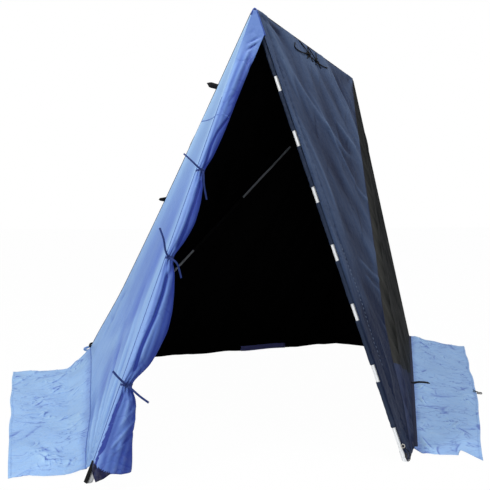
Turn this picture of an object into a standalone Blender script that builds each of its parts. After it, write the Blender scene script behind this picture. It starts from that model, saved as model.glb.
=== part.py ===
"""Beach shelter: cloth walls over five poles, a tied-back door, and skirts to heap sand on.

Metres, +Z up. The doorway faces -Y and +X is the right hand of someone looking in.
The walls are worked out from their corners, which are given from the middle of the
doorway's sill. At the end the whole shelter is moved so that the origin lies on the
ground at the centre of its footprint.
"""
import math

import bmesh
import bpy
from mathutils import Matrix, Vector

# Corners of the cloth, from the middle of the doorway's sill
APEX = Vector((0.083, 0.488, 2.112))
REAR_APEX = Vector((1.035, 1.810, 2.098))
DOOR_FOOT_LEFT = Vector((-0.690, -0.012, 0.0))
DOOR_FOOT_RIGHT = Vector((0.690, -0.012, 0.0))
REAR_LEFT = Vector((-0.935, 1.845, 0.0))
REAR_RIGHT = Vector((1.550, 1.810, 0.0))
REAR_SEAM_FOOT = Vector((1.033, 2.145, 0.0))
INSIDE = Vector((0.2, 0.9, 0.8))
CREASE_SETBACK = 0.14
HEM_LIFT = 0.130
HEM_CLEAR = 0.0052
BACK_HEM_DOWN = 0.46

# Cloth and seams
CLOTH = 0.004
GAP = 0.0003
SIDE_HEM_SEAT = CLOTH / 2 + 0.0003
BACK_HEM_SEAT = CLOTH / 2 + 0.0009
CORNER_CUT = 0.018

# Poles, their sleeves and their joints
FRONT_POLE_RADIUS = 0.009
REAR_POLE_RADIUS = 0.008
SLEEVE_RADIUS = 0.012
NEST = SLEEVE_RADIUS + GAP + CLOTH / 2
HUB_NEST = NEST + 0.004
SIDES = 16
POLE_START = 0.036
SOCKET_LENGTH = 0.085
HUB_RADIUS = 0.0125
HUB_RINGS = 10
FOOT_LENGTH = 0.045
FOOT_RADIUS = 0.012
POLE_FOOT_CLEAR = 0.013
GROUND_CUTTER = 0.4

# Sleeve lengths, measured up each pole from the ground
DOOR_SLEEVE_FOOT = 0.152
DOOR_SLEEVE_LENGTH = 0.207
DOOR_SLEEVE_PITCH = 0.287
DOOR_SLEEVES = 7
REAR_LEFT_SLEEVE = (0.075, 0.530, 1.045)
REAR_RIGHT_SLEEVE = (0.090, 0.360, 0.790)
REAR_SLEEVES = 3

# Doorway: where the gable ends, and the gathered door as (height, width, depth)
GABLE_HEIGHT = 1.946
DOOR_EDGE_CLEAR = 0.004
DOOR_FACE_CLEAR = 0.0024
DOOR_ARC_STEPS = 8
DOOR_ARC_POWER = 0.7
DOOR_BACK_SHARES = (0.25, 0.5, 0.75)
DOOR_SECTIONS = (
    (1.9455, 0.094, 0.010), (1.860, 0.088, 0.018), (1.781, 0.081, 0.024), (1.690, 0.075, 0.030),
    (1.605, 0.070, 0.034), (1.532, 0.069, 0.038), (1.435, 0.062, 0.040), (1.345, 0.052, 0.036),
    (1.292, 0.034, 0.028), (1.274, 0.034, 0.028), (1.215, 0.052, 0.038), (1.130, 0.069, 0.050),
    (1.041, 0.075, 0.055), (0.960, 0.056, 0.046), (0.905, 0.030, 0.030), (0.887, 0.030, 0.030),
    (0.830, 0.060, 0.046), (0.757, 0.085, 0.058), (0.670, 0.108, 0.066), (0.588, 0.118, 0.070),
    (0.500, 0.105, 0.066), (0.446, 0.090, 0.058), (0.386, 0.042, 0.036), (0.368, 0.042, 0.036),
    (0.315, 0.084, 0.054), (0.240, 0.108, 0.066), (0.150, 0.126, 0.076), (0.060, 0.152, 0.086),
    (0.0030, 0.166, 0.090),
)
TIE_SECTIONS = ((1.283, 0.034, 0.028), (0.896, 0.030, 0.030), (0.377, 0.042, 0.036))
TIE_WIDTH = 0.012
TIE_THICKNESS = 0.0015

# Skirts that lie on the ground: outer edges from front to rear
LEFT_SKIRT_EDGE = ((-1.011, 0.065), (-1.090, 0.370), (-1.161, 0.670), (-1.275, 1.130), (-1.402, 1.676))
RIGHT_SKIRT_EDGE = ((1.022, -0.040), (1.217, 0.302), (1.483, 0.779), (1.725, 1.276), (2.030, 1.893))
BACK_SKIRT_EDGE = ((-0.960, 2.270), (-0.500, 2.360), (0.280, 2.450), (1.060, 2.540), (1.400, 2.360),
                   (1.740, 2.140))
LEFT_SKIRT_DROP = 0.30
RIGHT_SKIRT_DROP = 1.0
BACK_SKIRT_DROP = 0.30
SIDE_SKIRT_COLUMNS = 8
BACK_SKIRT_COLUMNS = 15
SKIRT_ROWS = 6
SKIRT_SETBACK = 0.0010
SIDE_SKIRT_END = 0.995
BACK_SKIRT_START = 0.02

# Webbing loops, as (length, height, webbing width), and the tie on the ridge
WEBBING = 0.002
LOOP_SEAT = 0.0006
LOOP_ARC_STEPS = 6
UPPER_LOOP_DOWN = 0.170
UPPER_LOOP = (0.062, 0.022, 0.020)
LOWER_LOOP_DOWN = 0.464
LOWER_LOOP = (0.034, 0.018, 0.016)
PEG_LOOP_ALONG = 0.05
PEG_LOOP = (0.030, 0.010, 0.012)
RIDGE_TIE_RADIUS = 0.003
RIDGE_TIE_ROUTE = ((0.030, 0.300), (0.075, 0.335), (0.092, 0.420), (0.083, 0.520),
                   (0.079, 0.620), (0.084, 0.720), (0.105, 0.840))

BLUE = (0.30, 0.49, 0.78)
DOOR_BLUE = (0.17, 0.29, 0.66)
SKIRT_BLUE = (0.32, 0.53, 0.80)
NAVY = (0.035, 0.048, 0.090)
CHARCOAL = (0.018, 0.021, 0.022)
BLACK = (0.006, 0.006, 0.007)
RIBBON = (0.020, 0.045, 0.230)
ALLOY = (0.86, 0.88, 0.89)
DULL_ALLOY = (0.32, 0.35, 0.38)


def clear_scene():
    for old in list(bpy.data.objects):
        bpy.data.objects.remove(old, do_unlink=True)


def new_collection(name):
    group = bpy.data.collections.new(name)
    bpy.context.scene.collection.children.link(group)
    return group


def finish(name, colour, roughness, metallic=0.0):
    made = bpy.data.materials.get(name)
    if made:
        return made
    made = bpy.data.materials.new(name)
    made.use_nodes = True
    shader = made.node_tree.nodes["Principled BSDF"]
    shader.inputs["Base Color"].default_value = (*colour, 1.0)
    shader.inputs["Roughness"].default_value = roughness
    shader.inputs["Metallic"].default_value = metallic
    return made


clear_scene()
SHELTER = new_collection("beach_shelter")
CUTTERS = new_collection("cutters")
ORIGIN = bpy.data.objects.new("shelter_origin", None)
SHELTER.objects.link(ORIGIN)

CLOTH_BLUE = finish("cloth_blue", BLUE, 0.55)
CLOTH_DOOR = finish("cloth_door", DOOR_BLUE, 0.50)
CLOTH_SKIRT = finish("cloth_skirt", SKIRT_BLUE, 0.60)
CLOTH_NAVY = finish("cloth_navy", NAVY, 0.45)
CLOTH_CHARCOAL = finish("cloth_charcoal", CHARCOAL, 0.50)
SLEEVE_BLACK = finish("sleeve_black", BLACK, 0.60)
RIBBON_BLUE = finish("ribbon_blue", RIBBON, 0.50)
POLE_BRIGHT = finish("pole_bright", ALLOY, 0.30, 1.0)
POLE_DULL = finish("pole_dull", DULL_ALLOY, 0.40, 1.0)
MOULDING = finish("moulding_black", BLACK, 0.40)


def add(name, data, material, group=None):
    """An object for one piece, or for a cutter, which is left out of the build."""
    made = bpy.data.objects.new(name, data)
    (group or SHELTER).objects.link(made)
    made.parent = ORIGIN
    if group is CUTTERS:
        made.hide_render = True
        made.display_type = "WIRE"
    else:
        data.materials.append(material)
    return made


def aim(direction):
    return Vector(direction).to_track_quat("Z", "Y")


def place(made, location, direction):
    made.location = location
    made.rotation_mode = "QUATERNION"
    made.rotation_quaternion = aim(direction)


def cylinder_mesh(name, radius, length, capped=True):
    """A round bar or, uncapped, a tube's skin, along Z from z = 0."""
    shape = bmesh.new()
    bmesh.ops.create_cone(shape, cap_ends=capped, segments=SIDES, radius1=radius, radius2=radius,
                          depth=length, matrix=Matrix.Translation((0.0, 0.0, length / 2)))
    mesh = bpy.data.meshes.new(name)
    shape.to_mesh(mesh)
    shape.free()
    mesh.shade_smooth()
    mesh.set_sharp_from_angle(angle=math.radians(40))
    return mesh


def rod(name, start, end, radius, material, group=None):
    made = add(name, cylinder_mesh(name, radius, (end - start).length), material, group)
    place(made, start, end - start)
    return made


def sleeve(name, start, end, pole_radius, material):
    """A sewn tube that a pole runs through."""
    made = add(name, cylinder_mesh(name, pole_radius + GAP, (end - start).length, capped=False), material)
    place(made, start, end - start)
    wall = made.modifiers.new("wall", "SOLIDIFY")
    wall.thickness = SLEEVE_RADIUS - pole_radius - GAP
    wall.offset = 1.0
    wall.use_even_offset = True
    return made


def boolean(target, tool, operation):
    step = target.modifiers.new(operation.lower(), "BOOLEAN")
    step.operation = operation
    step.solver = "EXACT"
    step.object = tool


# Planes of the cloth: each is an outward normal and its distance from the sill's middle
def plane(a, b, c):
    normal = (b - a).cross(c - a).normalized()
    if normal.dot(INSIDE - a) > 0:
        normal.negate()
    return normal, normal.dot(a)


FRONT_PLANE = plane(DOOR_FOOT_LEFT, DOOR_FOOT_RIGHT, APEX)
LEFT_PLANE = plane(APEX, DOOR_FOOT_LEFT, REAR_LEFT)
ROOF_PLANE = plane(APEX, REAR_LEFT, REAR_APEX)
RIGHT_PLANE = plane(APEX, REAR_APEX, DOOR_FOOT_RIGHT)
SILL_RUN = Vector((0.0, 0.0, 1.0)).cross(RIGHT_PLANE[0]).normalized()
CREASE_FOOT = DOOR_FOOT_RIGHT + SILL_RUN * CREASE_SETBACK
RIGHT_REAR_PLANE = plane(REAR_APEX, CREASE_FOOT, REAR_RIGHT)
BACK_LEFT_PLANE = plane(REAR_APEX, REAR_LEFT, REAR_SEAM_FOOT)
BACK_RIGHT_PLANE = plane(REAR_APEX, REAR_SEAM_FOOT, REAR_RIGHT)


def nested_line(first, second):
    """The axis of a sleeve that lies in the corner of two walls: a point and a direction."""
    run = first[0].cross(second[0]).normalized()
    rows = Matrix((first[0], second[0], run))
    point = rows.inverted() @ Vector((first[1] - NEST, second[1] - NEST, 0.0))
    return point, run


def nested_corner(first, second, third):
    """The point that lies a joint's depth inside three walls at once."""
    rows = Matrix((first[0], second[0], third[0]))
    return rows.inverted() @ Vector((first[1] - HUB_NEST, second[1] - HUB_NEST, third[1] - HUB_NEST))


def at_height(line, height):
    point, run = line
    return point + run * ((height - point.z) / run.z)


FRONT_LEFT_AXIS = nested_line(FRONT_PLANE, LEFT_PLANE)
FRONT_RIGHT_AXIS = nested_line(FRONT_PLANE, RIGHT_PLANE)
REAR_LEFT_AXIS = nested_line(ROOF_PLANE, BACK_LEFT_PLANE)
REAR_RIGHT_AXIS = nested_line(BACK_RIGHT_PLANE, RIGHT_REAR_PLANE)
FRONT_HUB = nested_corner(FRONT_PLANE, RIGHT_PLANE, ROOF_PLANE)
REAR_HUB = nested_corner(ROOF_PLANE, RIGHT_PLANE, BACK_LEFT_PLANE)


class Leg:
    """A pole from a hub to the ground, with its axis, its ends and its radius."""

    def __init__(self, axis, hub, radius):
        self.ground = at_height(axis, 0.0)
        self.top = hub
        self.up = (self.top - self.ground).normalized()
        self.length = (self.top - self.ground).length
        self.radius = radius

    def up_from_ground(self, distance):
        return self.ground + self.up * distance

    def down_from_hub(self, distance):
        return self.top - self.up * distance


FRONT_LEFT_LEG = Leg(FRONT_LEFT_AXIS, FRONT_HUB, FRONT_POLE_RADIUS)
FRONT_RIGHT_LEG = Leg(FRONT_RIGHT_AXIS, FRONT_HUB, FRONT_POLE_RADIUS)
REAR_LEFT_LEG = Leg(REAR_LEFT_AXIS, REAR_HUB, REAR_POLE_RADIUS)
REAR_RIGHT_LEG = Leg(REAR_RIGHT_AXIS, REAR_HUB, REAR_POLE_RADIUS)
RIDGE_RUN = (REAR_HUB - FRONT_HUB).normalized()


def make_leg(name, leg, material):
    rod(name + "_pole", leg.up_from_ground(POLE_FOOT_CLEAR), leg.down_from_hub(POLE_START), leg.radius,
        material)


def make_foot(name, leg, material):
    """A cup on the pole's end, cut flat where it stands on the ground."""
    foot = rod(name, leg.up_from_ground(-FOOT_LENGTH), leg.up_from_ground(FOOT_LENGTH), FOOT_RADIUS,
               material)
    bore = rod(name + "_bore", leg.up_from_ground(POLE_FOOT_CLEAR - GAP),
               leg.up_from_ground(2 * FOOT_LENGTH), leg.radius + GAP, None, CUTTERS)
    boolean(foot, bore, "DIFFERENCE")
    shape = bmesh.new()
    bmesh.ops.create_cube(shape, size=GROUND_CUTTER)
    mesh = bpy.data.meshes.new(name + "_ground")
    shape.to_mesh(mesh)
    shape.free()
    ground = add(name + "_ground", mesh, None, CUTTERS)
    ground.location = leg.ground - Vector((0.0, 0.0, GROUND_CUTTER / 2))
    boolean(foot, ground, "DIFFERENCE")


def make_hub(name, centre, arms):
    """A moulded joint: a ball with a bored socket for each pole that meets there."""
    shape = bmesh.new()
    bmesh.ops.create_uvsphere(shape, u_segments=SIDES, v_segments=HUB_RINGS, radius=HUB_RADIUS)
    mesh = bpy.data.meshes.new(name)
    shape.to_mesh(mesh)
    shape.free()
    ball = add(name, mesh, MOULDING)
    ball.location = centre
    bores = []
    for number, (away, pole_radius) in enumerate(arms):
        socket = rod(f"{name}_socket_{number}", centre, centre + away * SOCKET_LENGTH, SLEEVE_RADIUS, None,
                     CUTTERS)
        boolean(ball, socket, "UNION")
        bores.append(rod(f"{name}_bore_{number}", centre + away * (POLE_START - GAP),
                         centre + away * 2 * SOCKET_LENGTH, pole_radius + GAP, None, CUTTERS))
    for bore in bores:
        boolean(ball, bore, "DIFFERENCE")


def make_frame():
    make_leg("front_left", FRONT_LEFT_LEG, POLE_BRIGHT)
    make_leg("front_right", FRONT_RIGHT_LEG, POLE_BRIGHT)
    make_leg("rear_left", REAR_LEFT_LEG, POLE_DULL)
    make_leg("rear_right", REAR_RIGHT_LEG, POLE_DULL)
    rod("ridge_pole", FRONT_HUB + RIDGE_RUN * POLE_START, REAR_HUB - RIDGE_RUN * POLE_START,
        REAR_POLE_RADIUS, POLE_DULL)
    make_hub("front_hub", FRONT_HUB, (
        (-FRONT_LEFT_LEG.up, FRONT_POLE_RADIUS),
        (-FRONT_RIGHT_LEG.up, FRONT_POLE_RADIUS),
        (RIDGE_RUN, REAR_POLE_RADIUS)))
    make_hub("rear_hub", REAR_HUB, (
        (-REAR_LEFT_LEG.up, REAR_POLE_RADIUS),
        (-REAR_RIGHT_LEG.up, REAR_POLE_RADIUS),
        (-RIDGE_RUN, REAR_POLE_RADIUS)))
    make_foot("front_left_foot", FRONT_LEFT_LEG, POLE_BRIGHT)
    make_foot("front_right_foot", FRONT_RIGHT_LEG, POLE_BRIGHT)
    make_foot("rear_left_foot", REAR_LEFT_LEG, MOULDING)
    make_foot("rear_right_foot", REAR_RIGHT_LEG, MOULDING)


def make_sleeves():
    """Closed sleeves on the ridge and the left door pole, and short lengths on the others."""
    clear = SOCKET_LENGTH + GAP
    sleeve("ridge_sleeve", FRONT_HUB + RIDGE_RUN * clear, REAR_HUB - RIDGE_RUN * clear, REAR_POLE_RADIUS,
           CLOTH_NAVY)
    leg = FRONT_LEFT_LEG
    sleeve("front_left_sleeve", leg.up_from_ground(FOOT_LENGTH + GAP), leg.down_from_hub(clear), leg.radius,
           CLOTH_BLUE)
    leg = FRONT_RIGHT_LEG
    for number in range(DOOR_SLEEVES):
        low = DOOR_SLEEVE_FOOT + number * DOOR_SLEEVE_PITCH
        high = low + DOOR_SLEEVE_LENGTH
        if number == DOOR_SLEEVES - 1:
            high = leg.length - clear
        sleeve(f"front_right_sleeve_{number + 1}", leg.up_from_ground(low), leg.up_from_ground(high),
               leg.radius, CLOTH_NAVY)
    for side, leg, (first, length, pitch) in (("rear_left", REAR_LEFT_LEG, REAR_LEFT_SLEEVE),
                                              ("rear_right", REAR_RIGHT_LEG, REAR_RIGHT_SLEEVE)):
        for number in range(REAR_SLEEVES):
            low = first + number * pitch
            sleeve(f"{side}_sleeve_{number + 1}", leg.up_from_ground(low), leg.up_from_ground(low + length),
                   leg.radius, SLEEVE_BLACK)


def seam_trim(first, second):
    """How far each of two walls stops short of their shared corner, so that they just meet."""
    fold = first[0].angle(second[0])
    return CLOTH / 2 * math.tan(fold / 2) + GAP / 2


def sheet_object(name, shape, material):
    """Gives an open surface the thickness of the cloth, half to each side."""
    mesh = bpy.data.meshes.new(name)
    shape.to_mesh(mesh)
    shape.free()
    made = add(name, mesh, material)
    cloth = made.modifiers.new("cloth", "SOLIDIFY")
    cloth.thickness = CLOTH
    cloth.offset = 0.0
    cloth.use_even_offset = True


def wall(name, own_plane, corners, trims, material, blunt=()):
    """A flat wall: its corners in order, how far each edge after a corner is trimmed back,
    and the corners that are cut off so that walls which meet at one point stay clear."""
    normal = own_plane[0]
    count = len(corners)
    middle = sum(corners, Vector()) / count
    lines = []
    for index in range(count):
        start, end = corners[index], corners[(index + 1) % count]
        run = (end - start).normalized()
        inward = normal.cross(run)
        if inward.dot(middle - start) < 0:
            inward.negate()
        lines.append((start + inward * trims[index], run, inward))
    points = []
    for index in range(count):
        start, run, inward = lines[index]
        before, before_run, before_in = lines[index - 1]
        corner = start + run * (before_in.dot(before - start) / before_in.dot(run))
        if index in blunt:
            points += [corner - before_run * CORNER_CUT, corner + run * CORNER_CUT]
        else:
            points.append(corner)
    shape = bmesh.new()
    face = shape.faces.new([shape.verts.new(point) for point in points])
    face.normal_update()
    if face.normal.dot(normal) < 0:
        face.normal_flip()
    sheet_object(name, shape, material)


def hem_corner(top, foot, height):
    return foot + (top - foot) * (height / top.z)


LEFT_HEM_FRONT = hem_corner(APEX, DOOR_FOOT_LEFT, HEM_CLEAR)
LEFT_HEM_REAR = hem_corner(APEX, REAR_LEFT, HEM_LIFT)
BACK_HEM_CORNER = hem_corner(REAR_APEX, REAR_LEFT, HEM_LIFT)
RIGHT_HEM_FRONT = hem_corner(APEX, DOOR_FOOT_RIGHT, HEM_CLEAR)
RIGHT_HEM_CREASE = hem_corner(REAR_APEX, CREASE_FOOT, HEM_CLEAR)
RIGHT_HEM_REAR = hem_corner(REAR_APEX, REAR_RIGHT, HEM_LIFT)
BACK_HEM_SEAM = hem_corner(REAR_APEX, REAR_SEAM_FOOT, HEM_CLEAR)
BACK_HEM_LEFT = hem_corner(REAR_APEX, REAR_LEFT + (REAR_SEAM_FOOT - REAR_LEFT).normalized() * BACK_HEM_DOWN,
                           HEM_CLEAR)
BACK_HEM_RIGHT = hem_corner(REAR_APEX, REAR_RIGHT + (REAR_SEAM_FOOT - REAR_RIGHT).normalized()
                            * BACK_HEM_DOWN / 2, HEM_CLEAR)


def make_walls():
    left_corner = LEFT_HEM_FRONT.lerp(LEFT_HEM_REAR, SIDE_SKIRT_END)
    right_corner = RIGHT_HEM_CREASE.lerp(RIGHT_HEM_REAR, SIDE_SKIRT_END)
    wall("left_wall", LEFT_PLANE, (APEX, LEFT_HEM_FRONT, left_corner),
         (seam_trim(FRONT_PLANE, LEFT_PLANE), 0.0, seam_trim(LEFT_PLANE, ROOF_PLANE)), CLOTH_BLUE)
    wall("left_roof", ROOF_PLANE, (APEX, LEFT_HEM_REAR, BACK_HEM_CORNER, REAR_APEX),
         (seam_trim(LEFT_PLANE, ROOF_PLANE), 0.0, seam_trim(ROOF_PLANE, BACK_LEFT_PLANE),
          seam_trim(ROOF_PLANE, RIGHT_PLANE)), CLOTH_CHARCOAL)
    wall("back_wall_left", BACK_LEFT_PLANE, (REAR_APEX, BACK_HEM_CORNER, BACK_HEM_LEFT, BACK_HEM_SEAM),
         (seam_trim(ROOF_PLANE, BACK_LEFT_PLANE), 0.0, 0.0, seam_trim(BACK_LEFT_PLANE, BACK_RIGHT_PLANE)),
         CLOTH_CHARCOAL, blunt=(0,))
    wall("back_wall_right", BACK_RIGHT_PLANE, (REAR_APEX, BACK_HEM_SEAM, BACK_HEM_RIGHT, RIGHT_HEM_REAR),
         (seam_trim(BACK_LEFT_PLANE, BACK_RIGHT_PLANE), 0.0, 0.0,
          seam_trim(BACK_RIGHT_PLANE, RIGHT_REAR_PLANE)), CLOTH_CHARCOAL, blunt=(0,))
    wall("right_rear_wall", RIGHT_REAR_PLANE, (REAR_APEX, RIGHT_HEM_CREASE, right_corner),
         (seam_trim(RIGHT_REAR_PLANE, RIGHT_PLANE), 0.0, seam_trim(BACK_RIGHT_PLANE, RIGHT_REAR_PLANE)),
         CLOTH_CHARCOAL, blunt=(0,))
    wall("right_front_wall", RIGHT_PLANE, (APEX, REAR_APEX, RIGHT_HEM_CREASE, RIGHT_HEM_FRONT),
         (seam_trim(ROOF_PLANE, RIGHT_PLANE), seam_trim(RIGHT_REAR_PLANE, RIGHT_PLANE), 0.0,
          seam_trim(FRONT_PLANE, RIGHT_PLANE)), CLOTH_NAVY)
    wall("gable", FRONT_PLANE, (APEX, hem_corner(APEX, DOOR_FOOT_LEFT, GABLE_HEIGHT),
                                hem_corner(APEX, DOOR_FOOT_RIGHT, GABLE_HEIGHT)),
         (seam_trim(FRONT_PLANE, LEFT_PLANE), 0.0, seam_trim(FRONT_PLANE, RIGHT_PLANE)), CLOTH_BLUE)


def door_ring(height, width, depth, grow=0.0):
    """One flat-backed section of the gathered door, just in front of the doorway's plane."""
    edge = hem_corner(APEX, DOOR_FOOT_LEFT, height)
    across = Vector((1.0, 0.0, 0.0))
    outward = FRONT_PLANE[0]
    base = edge + across * (DOOR_EDGE_CLEAR + width / 2) + outward * DOOR_FACE_CLEAR
    ring = []
    for step in range(DOOR_ARC_STEPS + 1):
        turn = math.pi * step / DOOR_ARC_STEPS
        ring.append(base + across * (width / 2 + grow) * math.cos(turn)
                    + outward * (depth + grow) * math.sin(turn) ** DOOR_ARC_POWER)
    for share in DOOR_BACK_SHARES:
        ring.append(base + across * (width / 2 + grow) * (2 * share - 1) - outward * grow)
    for corner in (0, DOOR_ARC_STEPS):
        ring[corner] -= outward * grow
    for point in ring:
        point.z = max(point.z, GAP)
    return ring


def loft(rings, capped):
    """Skins sections of the same point count, the one way to join these unlike outlines."""
    shape = bmesh.new()
    loops = [[shape.verts.new(point) for point in ring] for ring in rings]
    count = len(loops[0])
    for below, above in zip(loops, loops[1:]):
        for index in range(count):
            after = (index + 1) % count
            shape.faces.new((below[index], below[after], above[after], above[index]))
    if capped:
        shape.faces.new(loops[0][::-1])
        shape.faces.new(loops[-1])
    bmesh.ops.recalc_face_normals(shape, faces=shape.faces)
    return shape


def make_door():
    """The door, rolled to its left pole and pinched by three ribbons."""
    shape = loft([door_ring(*section) for section in DOOR_SECTIONS], capped=True)
    mesh = bpy.data.meshes.new("door_flap")
    shape.to_mesh(mesh)
    shape.free()
    add("door_flap", mesh, CLOTH_DOOR)
    half = TIE_WIDTH / 2
    for number, (height, width, depth) in enumerate(TIE_SECTIONS, start=1):
        rings = [door_ring(height + half, width, depth, GAP), door_ring(height - half, width, depth, GAP)]
        shape = loft(rings, capped=False)
        name = f"door_tie_{number}"
        mesh = bpy.data.meshes.new(name)
        shape.to_mesh(mesh)
        shape.free()
        band = add(name, mesh, RIBBON_BLUE)
        tape = band.modifiers.new("tape", "SOLIDIFY")
        tape.thickness = TIE_THICKNESS
        tape.offset = 1.0
        tape.use_even_offset = True


def polyline_point(points, share):
    """A point at a share of the way along a list of points, by their order."""
    place_along = share * (len(points) - 1)
    index = min(int(place_along), len(points) - 2)
    return points[index].lerp(points[index + 1], place_along - index)


def make_skirt(name, hem, edge, columns, drop, seat):
    """Cloth sewn along a wall's hem that falls to the ground and lies flat to its outer edge."""
    shape = bmesh.new()
    bmesh.ops.create_grid(shape, x_segments=columns, y_segments=SKIRT_ROWS, size=0.5)
    ground = CLOTH / 2
    outer = [Vector((x, y, ground)) for x, y in edge]
    for vert in shape.verts:
        along, out = vert.co.x + 0.5, vert.co.y + 0.5
        start = polyline_point(hem, along) - Vector((0.0, 0.0, seat))
        end = polyline_point(outer, along)
        start += (end - start).normalized() * SKIRT_SETBACK
        point = start.lerp(end, out)
        fall = max(0.0, 1.0 - out / drop)
        point.z = ground + max(start.z - ground, 0.0) * fall
        vert.co = point
    bmesh.ops.recalc_face_normals(shape, faces=shape.faces)
    sheet_object(name, shape, CLOTH_SKIRT)


def make_skirts():
    left_end = LEFT_HEM_FRONT.lerp(LEFT_HEM_REAR, SIDE_SKIRT_END)
    right_end = RIGHT_HEM_CREASE.lerp(RIGHT_HEM_REAR, SIDE_SKIRT_END)
    make_skirt("left_skirt", [LEFT_HEM_FRONT, left_end], LEFT_SKIRT_EDGE, SIDE_SKIRT_COLUMNS,
               LEFT_SKIRT_DROP, SIDE_HEM_SEAT)
    make_skirt("right_skirt", [RIGHT_HEM_CREASE, right_end], RIGHT_SKIRT_EDGE, SIDE_SKIRT_COLUMNS,
               RIGHT_SKIRT_DROP, SIDE_HEM_SEAT)
    back_start = BACK_HEM_CORNER.lerp(BACK_HEM_LEFT, BACK_SKIRT_START)
    back_end = RIGHT_HEM_REAR.lerp(BACK_HEM_RIGHT, BACK_SKIRT_START)
    back_hem = [back_start, BACK_HEM_LEFT, BACK_HEM_LEFT.lerp(BACK_HEM_SEAM, 0.5), BACK_HEM_SEAM,
                BACK_HEM_RIGHT, back_end]
    make_skirt("back_skirt", back_hem, BACK_SKIRT_EDGE, BACK_SKIRT_COLUMNS, BACK_SKIRT_DROP, BACK_HEM_SEAT)


def webbing_loop(name, root, out, along, sizes):
    """A flat loop of webbing: its outline is a slot with a hole, as deep as the webbing is wide."""
    length, height, width = sizes
    outline = bpy.data.curves.new(name, "CURVE")
    outline.dimensions = "2D"
    outline.fill_mode = "BOTH"
    outline.extrude = width / 2
    for inset in (0.0, WEBBING):
        spline = outline.splines.new("POLY")
        half = height / 2 - inset
        points = []
        for centre, first_turn in ((length - height / 2, -math.pi / 2), (height / 2, math.pi / 2)):
            for step in range(LOOP_ARC_STEPS + 1):
                turn = first_turn + math.pi * step / LOOP_ARC_STEPS
                points.append((centre + half * math.cos(turn), half * math.sin(turn)))
        spline.points.add(len(points) - 1)
        for spot, (x, y) in zip(spline.points, points):
            spot.co = (x, y, 0.0, 1.0)
        spline.use_cyclic_u = True
    made = add(name, outline, SLEEVE_BLACK)
    along = along.normalized()
    out = (out - along * out.dot(along)).normalized()
    up = along.cross(out)
    made.matrix_basis = Matrix((
        (out.x, up.x, along.x, root.x),
        (out.y, up.y, along.y, root.y),
        (out.z, up.z, along.z, root.z),
        (0.0, 0.0, 0.0, 1.0)))


def make_loops():
    edge = LEFT_HEM_REAR - APEX
    outward = (LEFT_PLANE[0] + ROOF_PLANE[0]).normalized()
    clear = outward * (CLOTH / 2 - LOOP_SEAT)
    webbing_loop("upper_guy_loop", APEX + edge * UPPER_LOOP_DOWN + clear, outward, edge, UPPER_LOOP)
    webbing_loop("lower_guy_loop", APEX + edge * LOWER_LOOP_DOWN + clear, outward, edge, LOWER_LOOP)
    before, after = (Vector((*spot, 0.0)) for spot in RIGHT_SKIRT_EDGE[2:4])
    run = after - before
    out = Vector((run.y, -run.x, 0.0)).normalized()
    loop_height = PEG_LOOP[1]
    root = before + run * PEG_LOOP_ALONG + out * 2 * GAP + Vector((0.0, 0.0, loop_height / 2 + GAP))
    webbing_loop("right_peg_loop", root, out, run, PEG_LOOP)


def make_ridge_tie():
    """A black tie cord that lies on the right wall just below the ridge."""
    run = (REAR_APEX - APEX).normalized()
    normal = RIGHT_PLANE[0]
    down = run.cross(normal)
    if down.z > 0:
        down.negate()
    lift = normal * (CLOTH / 2 + RIDGE_TIE_RADIUS + GAP)
    tie = bpy.data.curves.new("ridge_tie", "CURVE")
    tie.dimensions = "3D"
    tie.bevel_depth = RIDGE_TIE_RADIUS
    tie.bevel_resolution = 2
    tie.use_fill_caps = True
    spline = tie.splines.new("POLY")
    length = (REAR_APEX - APEX).length
    spline.points.add(len(RIDGE_TIE_ROUTE) - 1)
    for spot, (below, share) in zip(spline.points, RIDGE_TIE_ROUTE):
        spot.co = (*(APEX + run * length * share + down * below + lift), 1.0)
    add("ridge_tie", tie, SLEEVE_BLACK)


def centre_on_footprint():
    """Moves the shelter so that the middle of its footprint is the origin."""
    bpy.context.view_layer.update()
    graph = bpy.context.evaluated_depsgraph_get()
    points = []
    for made in SHELTER.objects:
        if made.type in {"MESH", "CURVE"}:
            seen = made.evaluated_get(graph)
            mesh = seen.to_mesh()
            points += [seen.matrix_world @ vert.co for vert in mesh.vertices]
            seen.to_mesh_clear()
    for axis in (0, 1):
        values = [point[axis] for point in points]
        ORIGIN.location[axis] = -(min(values) + max(values)) / 2


make_frame()
make_sleeves()
make_walls()
make_door()
make_skirts()
make_loops()
make_ridge_tie()
centre_on_footprint()
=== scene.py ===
"""A beach shelter, dressed: its cloth, sleeves, ribbons, webbing and trims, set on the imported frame."""

import math

import bmesh
import bpy
import numpy as np
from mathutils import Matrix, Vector
from mathutils.bvhtree import BVHTree


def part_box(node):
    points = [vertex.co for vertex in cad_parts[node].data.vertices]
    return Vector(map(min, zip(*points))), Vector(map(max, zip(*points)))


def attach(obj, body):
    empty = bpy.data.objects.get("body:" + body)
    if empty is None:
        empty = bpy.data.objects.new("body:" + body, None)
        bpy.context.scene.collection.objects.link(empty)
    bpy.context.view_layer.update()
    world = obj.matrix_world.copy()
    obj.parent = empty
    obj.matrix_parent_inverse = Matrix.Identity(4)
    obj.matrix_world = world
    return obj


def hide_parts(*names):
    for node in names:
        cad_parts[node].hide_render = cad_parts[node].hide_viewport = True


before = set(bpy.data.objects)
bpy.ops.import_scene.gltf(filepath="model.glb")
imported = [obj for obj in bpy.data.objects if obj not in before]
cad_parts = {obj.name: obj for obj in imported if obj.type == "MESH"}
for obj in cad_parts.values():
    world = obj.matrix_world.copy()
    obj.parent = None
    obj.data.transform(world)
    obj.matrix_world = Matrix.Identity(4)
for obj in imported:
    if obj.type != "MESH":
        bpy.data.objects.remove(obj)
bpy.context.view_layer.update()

# Camera: it stands before the left door pole at chest height, and looks a little down and to the
# right.


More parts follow.
